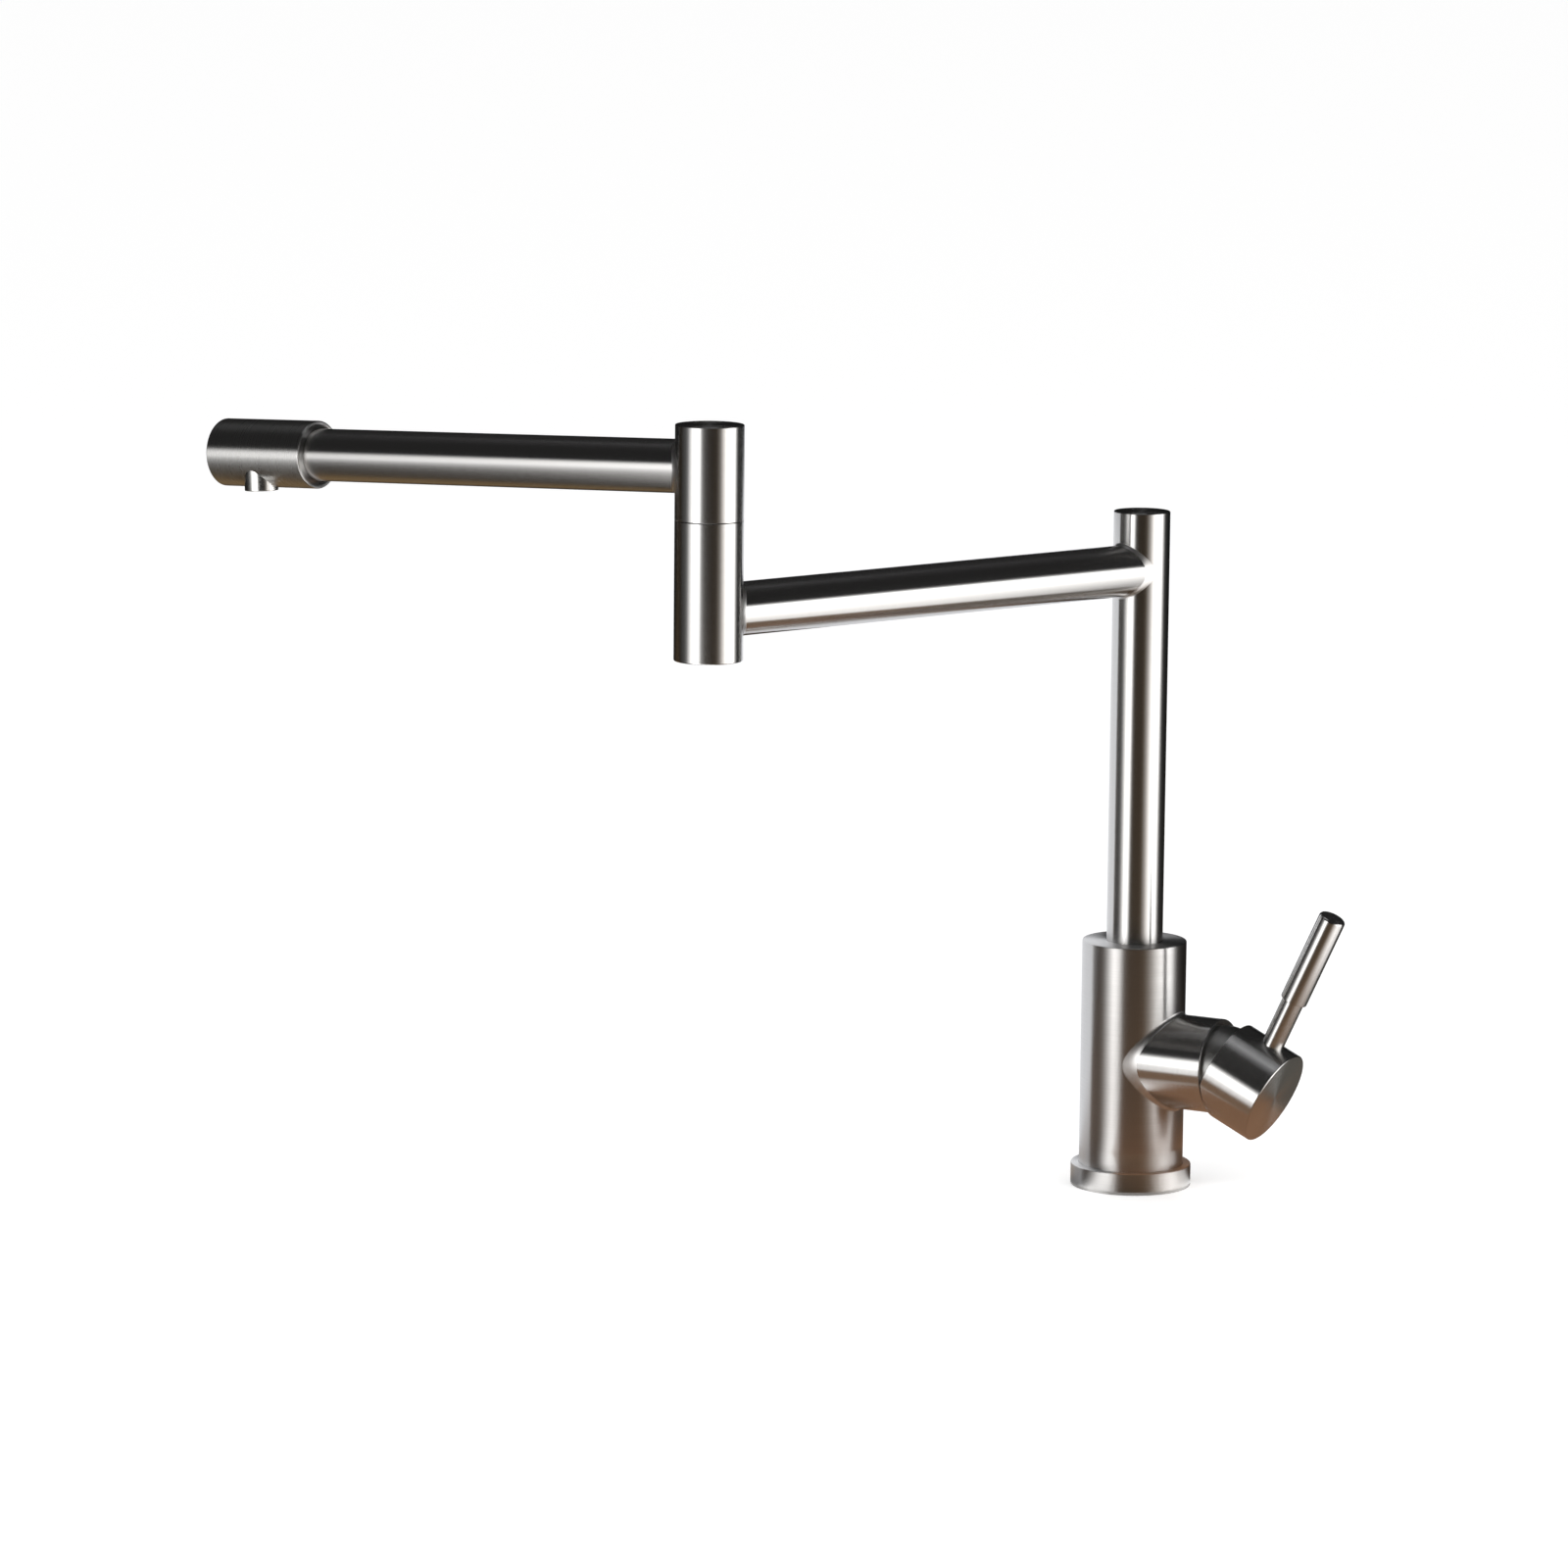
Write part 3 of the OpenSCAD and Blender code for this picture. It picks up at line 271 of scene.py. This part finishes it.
def cut(piece, cutter):
    """Takes the cutter's shape out of a piece."""
    tool = piece.modifiers.new("cut", "BOOLEAN")
    tool.operation = "DIFFERENCE"
    tool.solver = "EXACT"
    tool.object = cutter
    piece.modifiers.move(len(piece.modifiers) - 1, 0)
    shading = piece.modifiers["even shading"]
    shading.show_viewport = False
    bpy.context.view_layer.update()
    view = piece.evaluated_get(bpy.context.evaluated_depsgraph_get())
    mesh = bpy.data.meshes.new_from_object(view)
    piece.modifiers.remove(tool)
    shading.show_viewport = True
    piece.data = mesh
    mesh.set_sharp_from_angle(angle=hard_edge)
    bpy.data.objects.remove(cutter)


body_tube = turned("body_turned", [
    (body_in_r, body_foot), (body_r, body_foot), (body_r, body_top, ground_edge),
    (bearing_r, body_top, broken_edge), (bearing_r, bearing_foot), (body_in_r, bearing_foot)
])
screw_axis = Matrix.Translation((0, 0, screw_z * mm)) @ Matrix.Rotation(radians(-90), 4, "X")
cut(body_tube, turned("screw_hole", [
    (0, screw_hole_start), (screw_hole_r, screw_hole_start), (screw_hole_r, screw_hole_end),
    (0, screw_hole_end)
], screw_axis))
dress(body_tube, body_steel, "body", "brushed_stainless", "body_shell", "body_cap")


# Side housing: a 47 mm tube welded to the body at right angles, brushed round, with a small
# dressed fillet of weld metal where the two tubes meet.
housing_z, housing_root, housing_reach = 65, 12, 48.5
housing_r, housing_in_r, housing_edge = 23.5, 20.5, 0.5
branch = Matrix.Translation((0, 0, housing_z * mm)) @ Matrix.Rotation(radians(90), 4, "Y")


def fillet(name, node):
    """The weld fillet of a CAD node, with its triangles merged and shaded smooth."""
    shape = bmesh.new()
    shape.from_mesh(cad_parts[node].data)
    bmesh.ops.remove_doubles(shape, verts=shape.verts[:], dist=same_spot)
    shape.normal_update()
    return finished(name, shape)


housing_steel = brushed_steel("housing_steel", dull=0.24, stretch=0.9, grain=0.8)
weld_steel = mottled("dressed_weld", (0.54, 0.53, 0.52), (0.62, 0.61, 0.60), 300, (0.30, 0.40),
                     metallic=1.0, bump=0.02)
housing = turned("housing_turned", [
    (housing_in_r, housing_root), (housing_r, housing_root), (housing_r, housing_reach, housing_edge),
    (housing_in_r, housing_reach)
], branch, seam=0)
dress(housing, housing_steel, "body", "brushed_stainless", "side_housing")
dress(fillet("housing_fillet", "housing_weld"), weld_steel, "body", "brushed_stainless", "housing_weld")


# Waterways: the manifold, the cartridge's seat and nut, the spigot, the socket and the journal
# are turned from brass, bright where tools have cut it and slightly cloudy elsewhere. The nut
# that draws the clamp plate to the deck is brass too.
brass = mottled("turned_brass", (0.62, 0.43, 0.17), (0.76, 0.56, 0.26), 180, (0.22, 0.36), metallic=1.0)
node_finish(brass, "manifold", "cartridge_seat", "retaining_nut", "clamp_nut", "riser_spigot",
            "elbow_socket", "elbow_journal")


# Cartridge: a 35 mm cartridge of moulded plastic round two ground ceramic discs. The shell and
# base are grey, the turning rotor and the disc carrier white, and the stem is plated steel. The
# plug, washer, slip ring and aerator insert are moulded of the same plastics.
white_plastic = mottled("white_plastic", (0.72, 0.72, 0.70), (0.80, 0.80, 0.78), 120, (0.35, 0.5),
                        bump=0.05)
grey_plastic = mottled("grey_plastic", (0.16, 0.165, 0.175), (0.22, 0.225, 0.235), 150, (0.38, 0.52),
                       bump=0.05)
ceramic = mottled("ground_ceramic", (0.80, 0.78, 0.73), (0.88, 0.86, 0.82), 400, (0.10, 0.2), bump=0.03)
node_finish(white_plastic, "cartridge_rotor", "disc_carrier", "riser_slip_ring", "aerator_insert")
node_finish(grey_plastic, "cartridge_base", "cartridge_shell", "elbow_washer", "hub_plug")
node_finish(ceramic, "fixed_disc", "moving_disc")
node_finish(plated, "cartridge_stem")


# Dome ring: a thin spun stainless steel ring that covers the cartridge, so that the lever hub
# tilts over a closed surface. It keeps the satin look of the spinning. Its tone is much darker than
# the other steel's: painted shade for the narrow gap between housing and hub where it shows.
shaded_ring_steel = brushed_steel("shaded_ring_steel", dull=0.42, stretch=0.5, grain=0.5, tone=(0.42, 0.415, 0.405))
pivot_x, dome_r, dome_in_r = 51.5, 20.62, 19.42
skirt_r, skirt_in_r, skirt_back, skirt_front = 20.4, 19.05, 46.5, 48.0


def arc(radius, centre, start, stop, step):
    """Corners of an outline on an arc about a centre on the axis, from angle to angle in degrees."""
    return [
        (radius * sin(radians(a)), centre + radius * cos(radians(a))) for a in range(start, stop, step)
    ]


dome = turned("dome_turned", [
    (skirt_in_r, skirt_back), (skirt_r, skirt_back), (skirt_r, housing_reach),
    *arc(dome_r, pivot_x, 96, 47, -4), *arc(dome_in_r, pivot_x, 52, 97, 4), (skirt_in_r, skirt_front)
], branch, seam=0)
dress(dome, shaded_ring_steel, "body", "brushed_stainless", "dome_ring")


# Lever hub: a solid stainless steel cap turned to the housing's width, hollowed to a ball
# inside and cut back at its rear so that it clears the housing as it tilts. A plastic plug
# closes the hole of its grub screw underneath.
hub_r, hub_back, hub_len, hub_face_edge = 24.25, 0.25, 30.5, 0.8
pocket_r, pocket_mouth_r = 21.12, 21.118
relief_x = 49.5
plug_x, plug_hole_r, plug_hole_top, plug_hole_foot = 25, 3.55, -21, -30
lever_open = radians(25)
lever = Matrix.Translation((pivot_x * mm, 0, housing_z * mm)) @ Matrix.Rotation(lever_open, 4, "Y")
stem = lever @ Matrix.Rotation(radians(90), 4, "Y")


def hub_shape():
    """Turns the hub with its pocket, then takes off its rear with a plane along the housing's face."""
    hub = turned("hub_turned", [
        *arc(pocket_r, 0, 0, 88, 4), (pocket_mouth_r, hub_back), (hub_r, hub_back, broken_edge),
        (hub_r, hub_len, hub_face_edge), (0, hub_len)
    ], stem, seam=0)
    shape = bmesh.new()
    shape.from_mesh(hub.data)
    sliced = bmesh.ops.bisect_plane(
        shape, geom=shape.verts[:] + shape.edges[:] + shape.faces[:], dist=merge_gap,
        plane_co=(relief_x * mm, 0, 0), plane_no=(1, 0, 0), clear_inner=True
    )
    rim = [e for e in sliced["geom_cut"] if isinstance(e, bmesh.types.BMEdge)]
    bmesh.ops.contextual_create(shape, geom=rim)
    bmesh.ops.recalc_face_normals(shape, faces=shape.faces[:])
    shape.to_mesh(hub.data)
    shape.free()
    hub.data.set_sharp_from_angle(angle=hard_edge)
    return hub


hub_steel = brushed_steel("hub_steel", dull=0.24, stretch=0.9, grain=0.8)
hub = hub_shape()
plug_axis = lever @ Matrix.Translation((plug_x * mm, 0, 0))
cut(hub, turned("plug_hole", [
    (0, plug_hole_foot), (plug_hole_r, plug_hole_foot), (plug_hole_r, plug_hole_top), (0, plug_hole_top)
], plug_axis))
dress(hub, hub_steel, "lever", "brushed_stainless", "lever_hub")


# Lever rod and grip: an 11 mm rod screwed into the hub and a slightly thicker sleeve with a
# rounded end over it, both stainless steel, turned and brushed fine.
rod_x, rod_r, rod_foot, rod_end = 17.5, 5.5, 22, 84
grip_r, grip_in_r, grip_foot, grip_floor, grip_top = 6.75, 5.55, 49.5, 84.5, 97.5
grip_top_edge = 1.5
rod_axis = lever @ Matrix.Translation((rod_x * mm, 0, 0))
rod_steel = brushed_steel("rod_steel", dull=0.2, stretch=0.9, grain=0.3)
rod = turned("rod_turned", [
    (0, rod_foot), (rod_r, rod_foot), (rod_r, rod_end, crisp_edge), (0, rod_end)
], rod_axis)
grip = turned("grip_turned", [
    (0, grip_floor), (grip_in_r, grip_floor), (grip_in_r, grip_foot), (grip_r, grip_foot, broken_edge),
    (grip_r, grip_top, grip_top_edge), (0, grip_top)
], rod_axis)
dress(rod, rod_steel, "lever", "brushed_stainless", "lever_rod")
dress(grip, rod_steel, "lever", "brushed_stainless", "lever_grip")


# Riser: a 28 mm stainless steel tube that turns in the body, closed at the top by a cap that
# is welded in and ground flush. It is brushed round its axis.
riser_steel = brushed_steel("riser_steel", dull=0.26, stretch=0.97, grain=0.3)
riser_r, riser_in_r, riser_foot, riser_top = 14, 12.5, 109, 339
cap_t = 6
riser = turned("riser_turned", [
    (0, riser_top - cap_t), (riser_in_r, riser_top - cap_t), (riser_in_r, riser_foot),
    (riser_r, riser_foot), (riser_r, riser_top, ground_edge), (0, riser_top)
])
dress(riser, riser_steel, "lower_spout", "brushed_stainless", "riser_tube", "riser_cap")


# Lower arm: a 25.4 mm stainless steel tube welded level between the riser and the elbow, with
# small dressed weld fillets at both ends.
arm1_z, arm1_len, arm1_heading = 310, 274, 249.5
arm_r = 12.7
arm1_start, arm1_end = 8, 264
arm1 = (Matrix.Rotation(radians(arm1_heading), 4, "Z") @ Matrix.Translation((0, 0, arm1_z * mm))
        @ Matrix.Rotation(radians(90), 4, "Y"))
arm_steel = brushed_steel("arm_steel", dull=0.235, stretch=0.88, grain=0.35)
lower_arm = turned("lower_arm_turned", [
    (0, arm1_start), (arm_r, arm1_start), (arm_r, arm1_end), (0, arm1_end)
], arm1, seam=0)
dress(lower_arm, arm_steel, "lower_spout", "brushed_stainless", "lower_arm_tube")
dress(fillet("lower_arm_fillets", "lower_arm_welds"), weld_steel, "lower_spout", "brushed_stainless",
      "lower_arm_welds")


# Elbow: two stainless steel sleeves, one above the other, that turn on each other about a
# hidden brass journal. Each has a flat cap welded in; a fine gap shows between the two.
elbow_x = arm1_len * cos(radians(arm1_heading))
elbow_y = arm1_len * sin(radians(arm1_heading))
elbow = Matrix.Translation((elbow_x * mm, elbow_y * mm, 0))
elbow_r, elbow_in_r = 16.25, 14.25
elbow_foot, elbow_seam, elbow_top, seam_gap = 287, 353, 398, 0.3
elbow_steel = brushed_steel("elbow_steel", dull=0.26, stretch=0.97, grain=0.3)
lower_sleeve = turned("elbow_lower_turned", [
    (0, elbow_foot), (elbow_r, elbow_foot, ground_edge), (elbow_r, elbow_seam, crisp_edge),
    (elbow_in_r, elbow_seam), (elbow_in_r, elbow_foot + cap_t), (0, elbow_foot + cap_t)
], elbow)
upper_foot = elbow_seam + seam_gap
upper_sleeve = turned("elbow_upper_turned", [
    (0, elbow_top), (elbow_r, elbow_top, ground_edge), (elbow_r, upper_foot, crisp_edge),
    (elbow_in_r, upper_foot), (elbow_in_r, elbow_top - cap_t), (0, elbow_top - cap_t)
], elbow)
dress(lower_sleeve, elbow_steel, "lower_spout", "brushed_stainless", "elbow_lower_sleeve",
      "elbow_bottom_cap")
dress(upper_sleeve, elbow_steel, "upper_spout", "brushed_stainless", "elbow_upper_sleeve",
      "elbow_top_cap")


# Upper arm: the same 25.4 mm tube, welded into the upper sleeve and falling slightly towards
# the outlet, with a dressed weld fillet at the elbow.
arm2_z, arm2_heading, arm2_fall = 378, 176, 2.5
arm2_start, arm2_end = 10, 244
arm2 = (Matrix.Translation((elbow_x * mm, elbow_y * mm, arm2_z * mm))
        @ Matrix.Rotation(radians(arm2_heading), 4, "Z") @ Matrix.Rotation(radians(arm2_fall), 4, "Y"))
arm2_turn = arm2 @ Matrix.Rotation(radians(90), 4, "Y")
upper_arm = turned("upper_arm_turned", [
    (0, arm2_start), (arm_r, arm2_start), (arm_r, arm2_end), (0, arm2_end)
], arm2_turn, seam=0)
dress(upper_arm, arm_steel, "upper_spout", "brushed_stainless", "upper_arm_tube")
dress(fillet("upper_arm_fillet", "upper_arm_weld"), weld_steel, "upper_spout", "brushed_stainless",
      "upper_arm_weld")


# Outlet head: a turned stainless steel sleeve over the arm's end, flat at both ends, bored
# from below for the aerator.
head_r, head_back, head_tip = 16.5, 231, 288
socket_r, socket_end = 12.75, 245
waterway_r, waterway_end = 12, 282
outlet_reach, outlet_side = 262, 6.5
bore_r, bore_top, bore_foot = 8.3, -5.7, -20
head_steel = brushed_steel("head_steel", dull=0.28, stretch=0.9, grain=0.5)
head = turned("head_turned", [
    (0, head_tip), (head_r, head_tip, ground_edge), (head_r, head_back, ground_edge),
    (socket_r, head_back), (socket_r, socket_end), (waterway_r, socket_end),
    (waterway_r, waterway_end), (0, waterway_end)
], arm2_turn, seam=0)
outlet = arm2 @ Matrix.Translation((outlet_reach * mm, outlet_side * mm, 0))
cut(head, turned("aerator_bore", [
    (0, bore_foot), (bore_r, bore_foot), (bore_r, bore_top), (0, bore_top)
], outlet))
dress(head, head_steel, "upper_spout", "brushed_stainless", "outlet_head")


# Aerator: a plated steel sleeve that screws in under the head, round a white plastic insert
# with small holes.
aerator_r, aerator_in_r, lip_r = 8.25, 7.05, 6.05
aerator_top, lip_top, aerator_foot = -5.9, -16.7, -17.5
sleeve_plating = mottled("sleeve_plating", (0.60, 0.59, 0.57), (0.66, 0.65, 0.63), 500, (0.20, 0.27),
                         metallic=1.0, bump=0.02)
aerator = turned("aerator_turned", [
    (lip_r, aerator_foot), (aerator_r, aerator_foot, broken_edge), (aerator_r, aerator_top),
    (aerator_in_r, aerator_top), (aerator_in_r, lip_top), (lip_r, lip_top)
], outlet)
dress(aerator, sleeve_plating, "upper_spout", "polished_chrome", "aerator_sleeve")


# Camera: a long lens at the photograph's height and distance, tilted down about nine degrees. The
# whole view is turned thirty degrees round the faucet's upright axis, as the photograph is.
view_turn = 30
facing = Matrix.Rotation(radians(view_turn), 4, "Z")
camera_place = (-0.17540, -3.17741, 0.71038)
pitch, roll = 0.1590, -0.0092
ahead = Vector((0, cos(pitch), -sin(pitch)))
right, down = Vector((1, 0, 0)), Vector((0, -sin(pitch), -cos(pitch)))
image_right = cos(roll) * right + sin(roll) * down
image_down = cos(roll) * down - sin(roll) * right
camera = bpy.data.objects.new("camera", bpy.data.cameras.new("camera"))
camera.data.lens = 148.8
camera.data.sensor_width = 36
camera.data.clip_start, camera.data.clip_end = 0.1, 50
turned_to = Matrix((image_right, -image_down, -ahead)).transposed().to_4x4()
camera.matrix_world = facing @ Matrix.Translation(camera_place) @ turned_to
scene.collection.objects.link(camera)
scene.camera = camera


# Floor: a wide, pale, matt surface at the deck's height. It shows as white and keeps the faucet's
# soft shadow. The world round it is white to the camera and nearly dark to the metal.
floor_glow = 0.40
world_seen, world_mirrored, world_plain = 1.0, 0.025, 0.8


def seen_light(tree, seen, mirrored, plain):
    """Joins three strengths: what the camera sees, what metal mirrors and what lights the rest."""
    path = tree.nodes.new("ShaderNodeLightPath")
    shown = tree.nodes.new("ShaderNodeMath")
    shown.operation = "MULTIPLY_ADD"
    shown.inputs[1].default_value = seen - plain
    shown.inputs[2].default_value = plain
    total = tree.nodes.new("ShaderNodeMath")
    total.operation = "MULTIPLY_ADD"
    total.inputs[1].default_value = mirrored - plain
    tree.links.new(path.outputs["Is Camera Ray"], shown.inputs[0])
    tree.links.new(path.outputs["Is Glossy Ray"], total.inputs[0])
    tree.links.new(shown.outputs[0], total.inputs[2])
    return total.outputs[0]


pale = bpy.data.materials.new("pale_floor")
pale.use_nodes = True
tree = pale.node_tree
shader = tree.nodes["Principled BSDF"]
shader.inputs["Base Color"].default_value = (0.8, 0.8, 0.8, 1)
shader.inputs["Roughness"].default_value = 0.9
shader.inputs["Emission Color"].default_value = (1, 1, 1, 1)
tree.links.new(seen_light(tree, floor_glow, 0.0, 0.0), shader.inputs["Emission Strength"])
shape = bmesh.new()
bmesh.ops.create_grid(shape, x_segments=1, y_segments=1, size=30)
floor_mesh = bpy.data.meshes.new("floor")
shape.to_mesh(floor_mesh)
shape.free()
floor = bpy.data.objects.new("floor", floor_mesh)
floor.data.materials.append(pale)
scene.collection.objects.link(floor)

world = bpy.data.worlds.new("studio")
world.use_nodes = True
scene.world = world
tree = world.node_tree
tree.nodes["Background"].inputs["Color"].default_value = (1, 1, 1, 1)
world_light = seen_light(tree, world_seen, world_mirrored, world_plain)
tree.links.new(world_light, tree.nodes["Background"].inputs["Strength"])


# Light: two large soft boxes in front, at the left and the right, light the floor and the dull
# pieces. The metal mirrors a painted floor card and a painted wall round about, dark and bright by
# turns, which give the tubes their bands, three small cards, a low one far behind and one overhead.
def panel(start, end, low, high):
    """Matrix, width and height of an upright panel from start to end, facing the faucet."""
    a, b = Vector((*start, 0)) * mm, Vector((*end, 0)) * mm
    side = (b - a).normalized()
    towards = side.cross(Vector((0, 0, 1)))
    if towards.dot(a + b) > 0:
        side, towards = -side, -towards
    turn = Matrix((side, towards.cross(side), towards)).transposed()
    middle = (a + b) / 2 + Vector((0, 0, (low + high) / 2 * mm))
    return facing @ Matrix.Translation(middle) @ turn.to_4x4(), (b - a).length, (high - low) * mm


def soft_box(name, start, end, low, high, radiance):
    """An area lamp of a given brightness that lights the faucet but isn't mirrored in it."""
    place, width, height = panel(start, end, low, high)
    lamp = bpy.data.lights.new(name, "AREA")
    lamp.shape = "RECTANGLE"
    lamp.size, lamp.size_y = width, height
    lamp.energy = radiance * pi * width * height
    box = bpy.data.objects.new(name, lamp)
    box.matrix_world = place @ Matrix.Rotation(pi, 4, "Y")
    box.visible_camera = False
    box.visible_glossy = False
    scene.collection.objects.link(box)


def card(name, place, width, height, material, round_about=False):
    """A flat card, or a ring of a radius and a height, that only the metal's reflections see."""
    shape = bmesh.new()
    if round_about:
        bmesh.ops.create_cone(shape, cap_ends=False, segments=64, radius1=width, radius2=width, depth=height)
    else:
        bmesh.ops.create_grid(shape, x_segments=1, y_segments=1, size=0.5)
        bmesh.ops.scale(shape, vec=(width, height, 1), verts=shape.verts[:])
    bmesh.ops.transform(shape, matrix=place, verts=shape.verts[:])
    mesh = bpy.data.meshes.new(name)
    shape.to_mesh(mesh)
    shape.free()
    sheet = bpy.data.objects.new(name, mesh)
    sheet.data.materials.append(material)
    sheet.visible_camera = False
    sheet.visible_diffuse = False
    sheet.visible_shadow = False
    sheet.visible_transmission = False
    scene.collection.objects.link(sheet)


def glow(name, colour=(1, 1, 1)):
    """A card's face that shines evenly."""
    face = bpy.data.materials.new(name)
    face.use_nodes = True
    tree = face.node_tree
    tree.nodes.remove(tree.nodes["Principled BSDF"])
    light = tree.nodes.new("ShaderNodeEmission")
    light.inputs["Color"].default_value = (*colour, 1)
    tree.links.new(light.outputs["Emission"], tree.nodes["Material Output"].inputs["Surface"])
    return face


def bands(tree, around, stops):
    """A ramp of brightness and warmth by direction, in degrees from the picture's right."""
    ramp = tree.nodes.new("ShaderNodeValToRGB")
    for k, (angle, level, warmth) in enumerate(sorted(stops)):
        mark = ramp.color_ramp.elements[k] if k < 2 else ramp.color_ramp.elements.new(1)
        mark.position = angle / 360 + 0.5
        mark.color = (level * (1 + warmth), level, level * (1 - warmth), 1)
    tree.links.new(around.outputs["Fac"], ramp.inputs["Fac"])
    return ramp


def ranged(tree, value, low, high, at_low=0.0, at_high=1.0):
    """Turns a length between low and high, in metres, into a number between at_low and at_high."""
    step = tree.nodes.new("ShaderNodeMapRange")
    step.inputs["From Min"].default_value = low
    step.inputs["From Max"].default_value = high
    step.inputs["To Min"].default_value = at_low
    step.inputs["To Max"].default_value = at_high
    tree.links.new(value, step.inputs["Value"])
    return step


def blended(tree, share, a, b):
    """Mixes two colours by a share."""
    mix = tree.nodes.new("ShaderNodeMix")
    mix.data_type = "RGBA"
    tree.links.new(share, mix.inputs["Factor"])
    for socket, colour in (("A", a), ("B", b)):
        if isinstance(colour, tuple):
            mix.inputs[socket].default_value = colour
        else:
            tree.links.new(colour, mix.inputs[socket])
    return mix.outputs["Result"]


# The paint: bands by direction about the spout, plainer far off, and a brown ring at the foot.
spout_middle = (-0.105, -0.087, 0)
brown_ring, ring_r = (0.50, 0.32, 0.21, 1), 0.15
painted = glow("painted_floor_card")
tree = painted.node_tree
light = tree.nodes["Emission"]
where = tree.nodes.new("ShaderNodeTexCoord")
turned_back = tree.nodes.new("ShaderNodeMapping")
turned_back.inputs["Rotation"].default_value = (0, 0, radians(-view_turn))
tree.links.new(where.outputs["Object"], turned_back.inputs["Vector"])
distance = tree.nodes.new("ShaderNodeVectorMath")
distance.operation = "LENGTH"
tree.links.new(turned_back.outputs["Vector"], distance.inputs[0])
from_body = distance.outputs["Value"]
middle = tree.nodes.new("ShaderNodeVectorMath")
middle.operation = "SCALE"
middle.inputs[0].default_value = spout_middle
tree.links.new(ranged(tree, from_body, 0.25, 1.2).outputs["Result"], middle.inputs["Scale"])
centred = tree.nodes.new("ShaderNodeVectorMath")
centred.operation = "SUBTRACT"
tree.links.new(turned_back.outputs["Vector"], centred.inputs[0])
tree.links.new(middle.outputs["Vector"], centred.inputs[1])
around = tree.nodes.new("ShaderNodeTexGradient")
around.gradient_type = "RADIAL"
tree.links.new(centred.outputs["Vector"], around.inputs["Vector"])
far_bands = bands(tree, around, [
    (-180, 0.07, 0), (-172, 0.12, 0), (-164, 0.3, 0), (-150, 1.7, 0), (-137, 3.2, 0), (-126, 2.4, 0),
    (-116, 0.10, 0), (-106, 0.01, 0.1), (-78, 0.01, 0.15), (-67, 0.03, 0.2), (-55, 0.25, 0.06),
    (-43, 1.2, 0.03), (-30, 2.4, 0.01), (-14, 3.2, 0), (-1, 2.3, 0), (9, 0.6, 0), (18, 0.06, 0),
    (38, 0.01, 0), (165, 0.01, 0), (180, 0.08, 0)
])
near_bands = bands(tree, around, [
    (-180, 0.06, 0.1), (-165, 0.07, 0.1), (-157, 0.16, 0.05), (-149, 1.5, 0), (-137, 4.6, 0), (-125, 3.0, 0),
    (-113, 0.30, 0.15), (-101, 0.14, 0.3), (-78, 0.13, 0.35), (-67, 0.30, 0.25), (-55, 1.3, 0.08),
    (-43, 2.8, 0.03), (-30, 4.2, 0.01), (-16, 3.4, 0.01), (-3, 3.0, 0), (9, 0.5, 0.05), (18, 0.10, 0.1),
    (38, 0.04, 0.1), (120, 0.05, 0.2), (142, 0.28, 0.5), (160, 0.25, 0.5), (172, 0.08, 0.3), (180, 0.06, 0.1)
])
far = ranged(tree, from_body, 0.8, 1.5).outputs["Result"]
paint = blended(tree, far, near_bands.outputs["Color"], far_bands.outputs["Color"])
ring_gap = tree.nodes.new("ShaderNodeMath")
ring_gap.operation = "SUBTRACT"
ring_gap.inputs[1].default_value = ring_r
tree.links.new(from_body, ring_gap.inputs[0])
off_ring = tree.nodes.new("ShaderNodeMath")
off_ring.operation = "ABSOLUTE"
tree.links.new(ring_gap.outputs[0], off_ring.inputs[0])
past_ring = ranged(tree, off_ring.outputs[0], 0.05, 0.10).outputs["Result"]
tree.links.new(blended(tree, past_ring, brown_ring, paint), light.inputs["Color"])
height = tree.nodes.new("ShaderNodeSeparateXYZ")
tree.links.new(where.outputs["Object"], height.inputs["Vector"])
by_height = ranged(tree, height.outputs["Z"], 0.6, 1.5, 1.0, 0.03)
by_height.interpolation_type = "SMOOTHSTEP"
by_distance = ranged(tree, from_body, 0.35, 3.0, 0.5, 1.6)
strength = tree.nodes.new("ShaderNodeMath")
strength.operation = "MULTIPLY"
tree.links.new(by_height.outputs["Result"], strength.inputs[0])
tree.links.new(by_distance.outputs["Result"], strength.inputs[1])
tree.links.new(strength.outputs[0], light.inputs["Strength"])
card("card_floor", facing @ Matrix.Translation((0, 0, 0.0015)), 8, 8, painted)
card("card_round", facing @ Matrix.Translation((0, 0, 0.77)), 3.9, 1.54, painted, round_about=True)
card("card_behind_riser", *panel((-150, 24), (-10, 95), 0, 340), glow("pale_card", (1.0, 1.02, 1.06)))
under_lever = Matrix.Translation((0.0515, -0.003, 0.020))
card("card_under_lever", under_lever, 0.099, 0.116, glow("copper_card", (0.30, 0.168, 0.10)))
beside_lever = facing @ Matrix.Translation((0.180, 0.055, 0.003))
card("card_beside_lever", beside_lever, 0.12, 0.14, glow("grey_card", (0.125, 0.118, 0.105)))
soft_face = glow("soft_card", (0.55, 0.56, 0.58))
card("card_far_behind", *panel((-1000, 2600), (1000, 2600), 0, 300), soft_face)
card("card_overhead", facing @ Matrix.Translation((-0.20, -0.10, 2.6)), 1.3, 1.3, soft_face)

soft_light = 1.2
soft_box("soft_box_right", (300, -1100), (900, -400), 100, 1300, soft_light)
soft_box("soft_box_left", (-900, -400), (-500, -1100), 100, 1300, soft_light)

scene.view_settings.view_transform = "Standard"
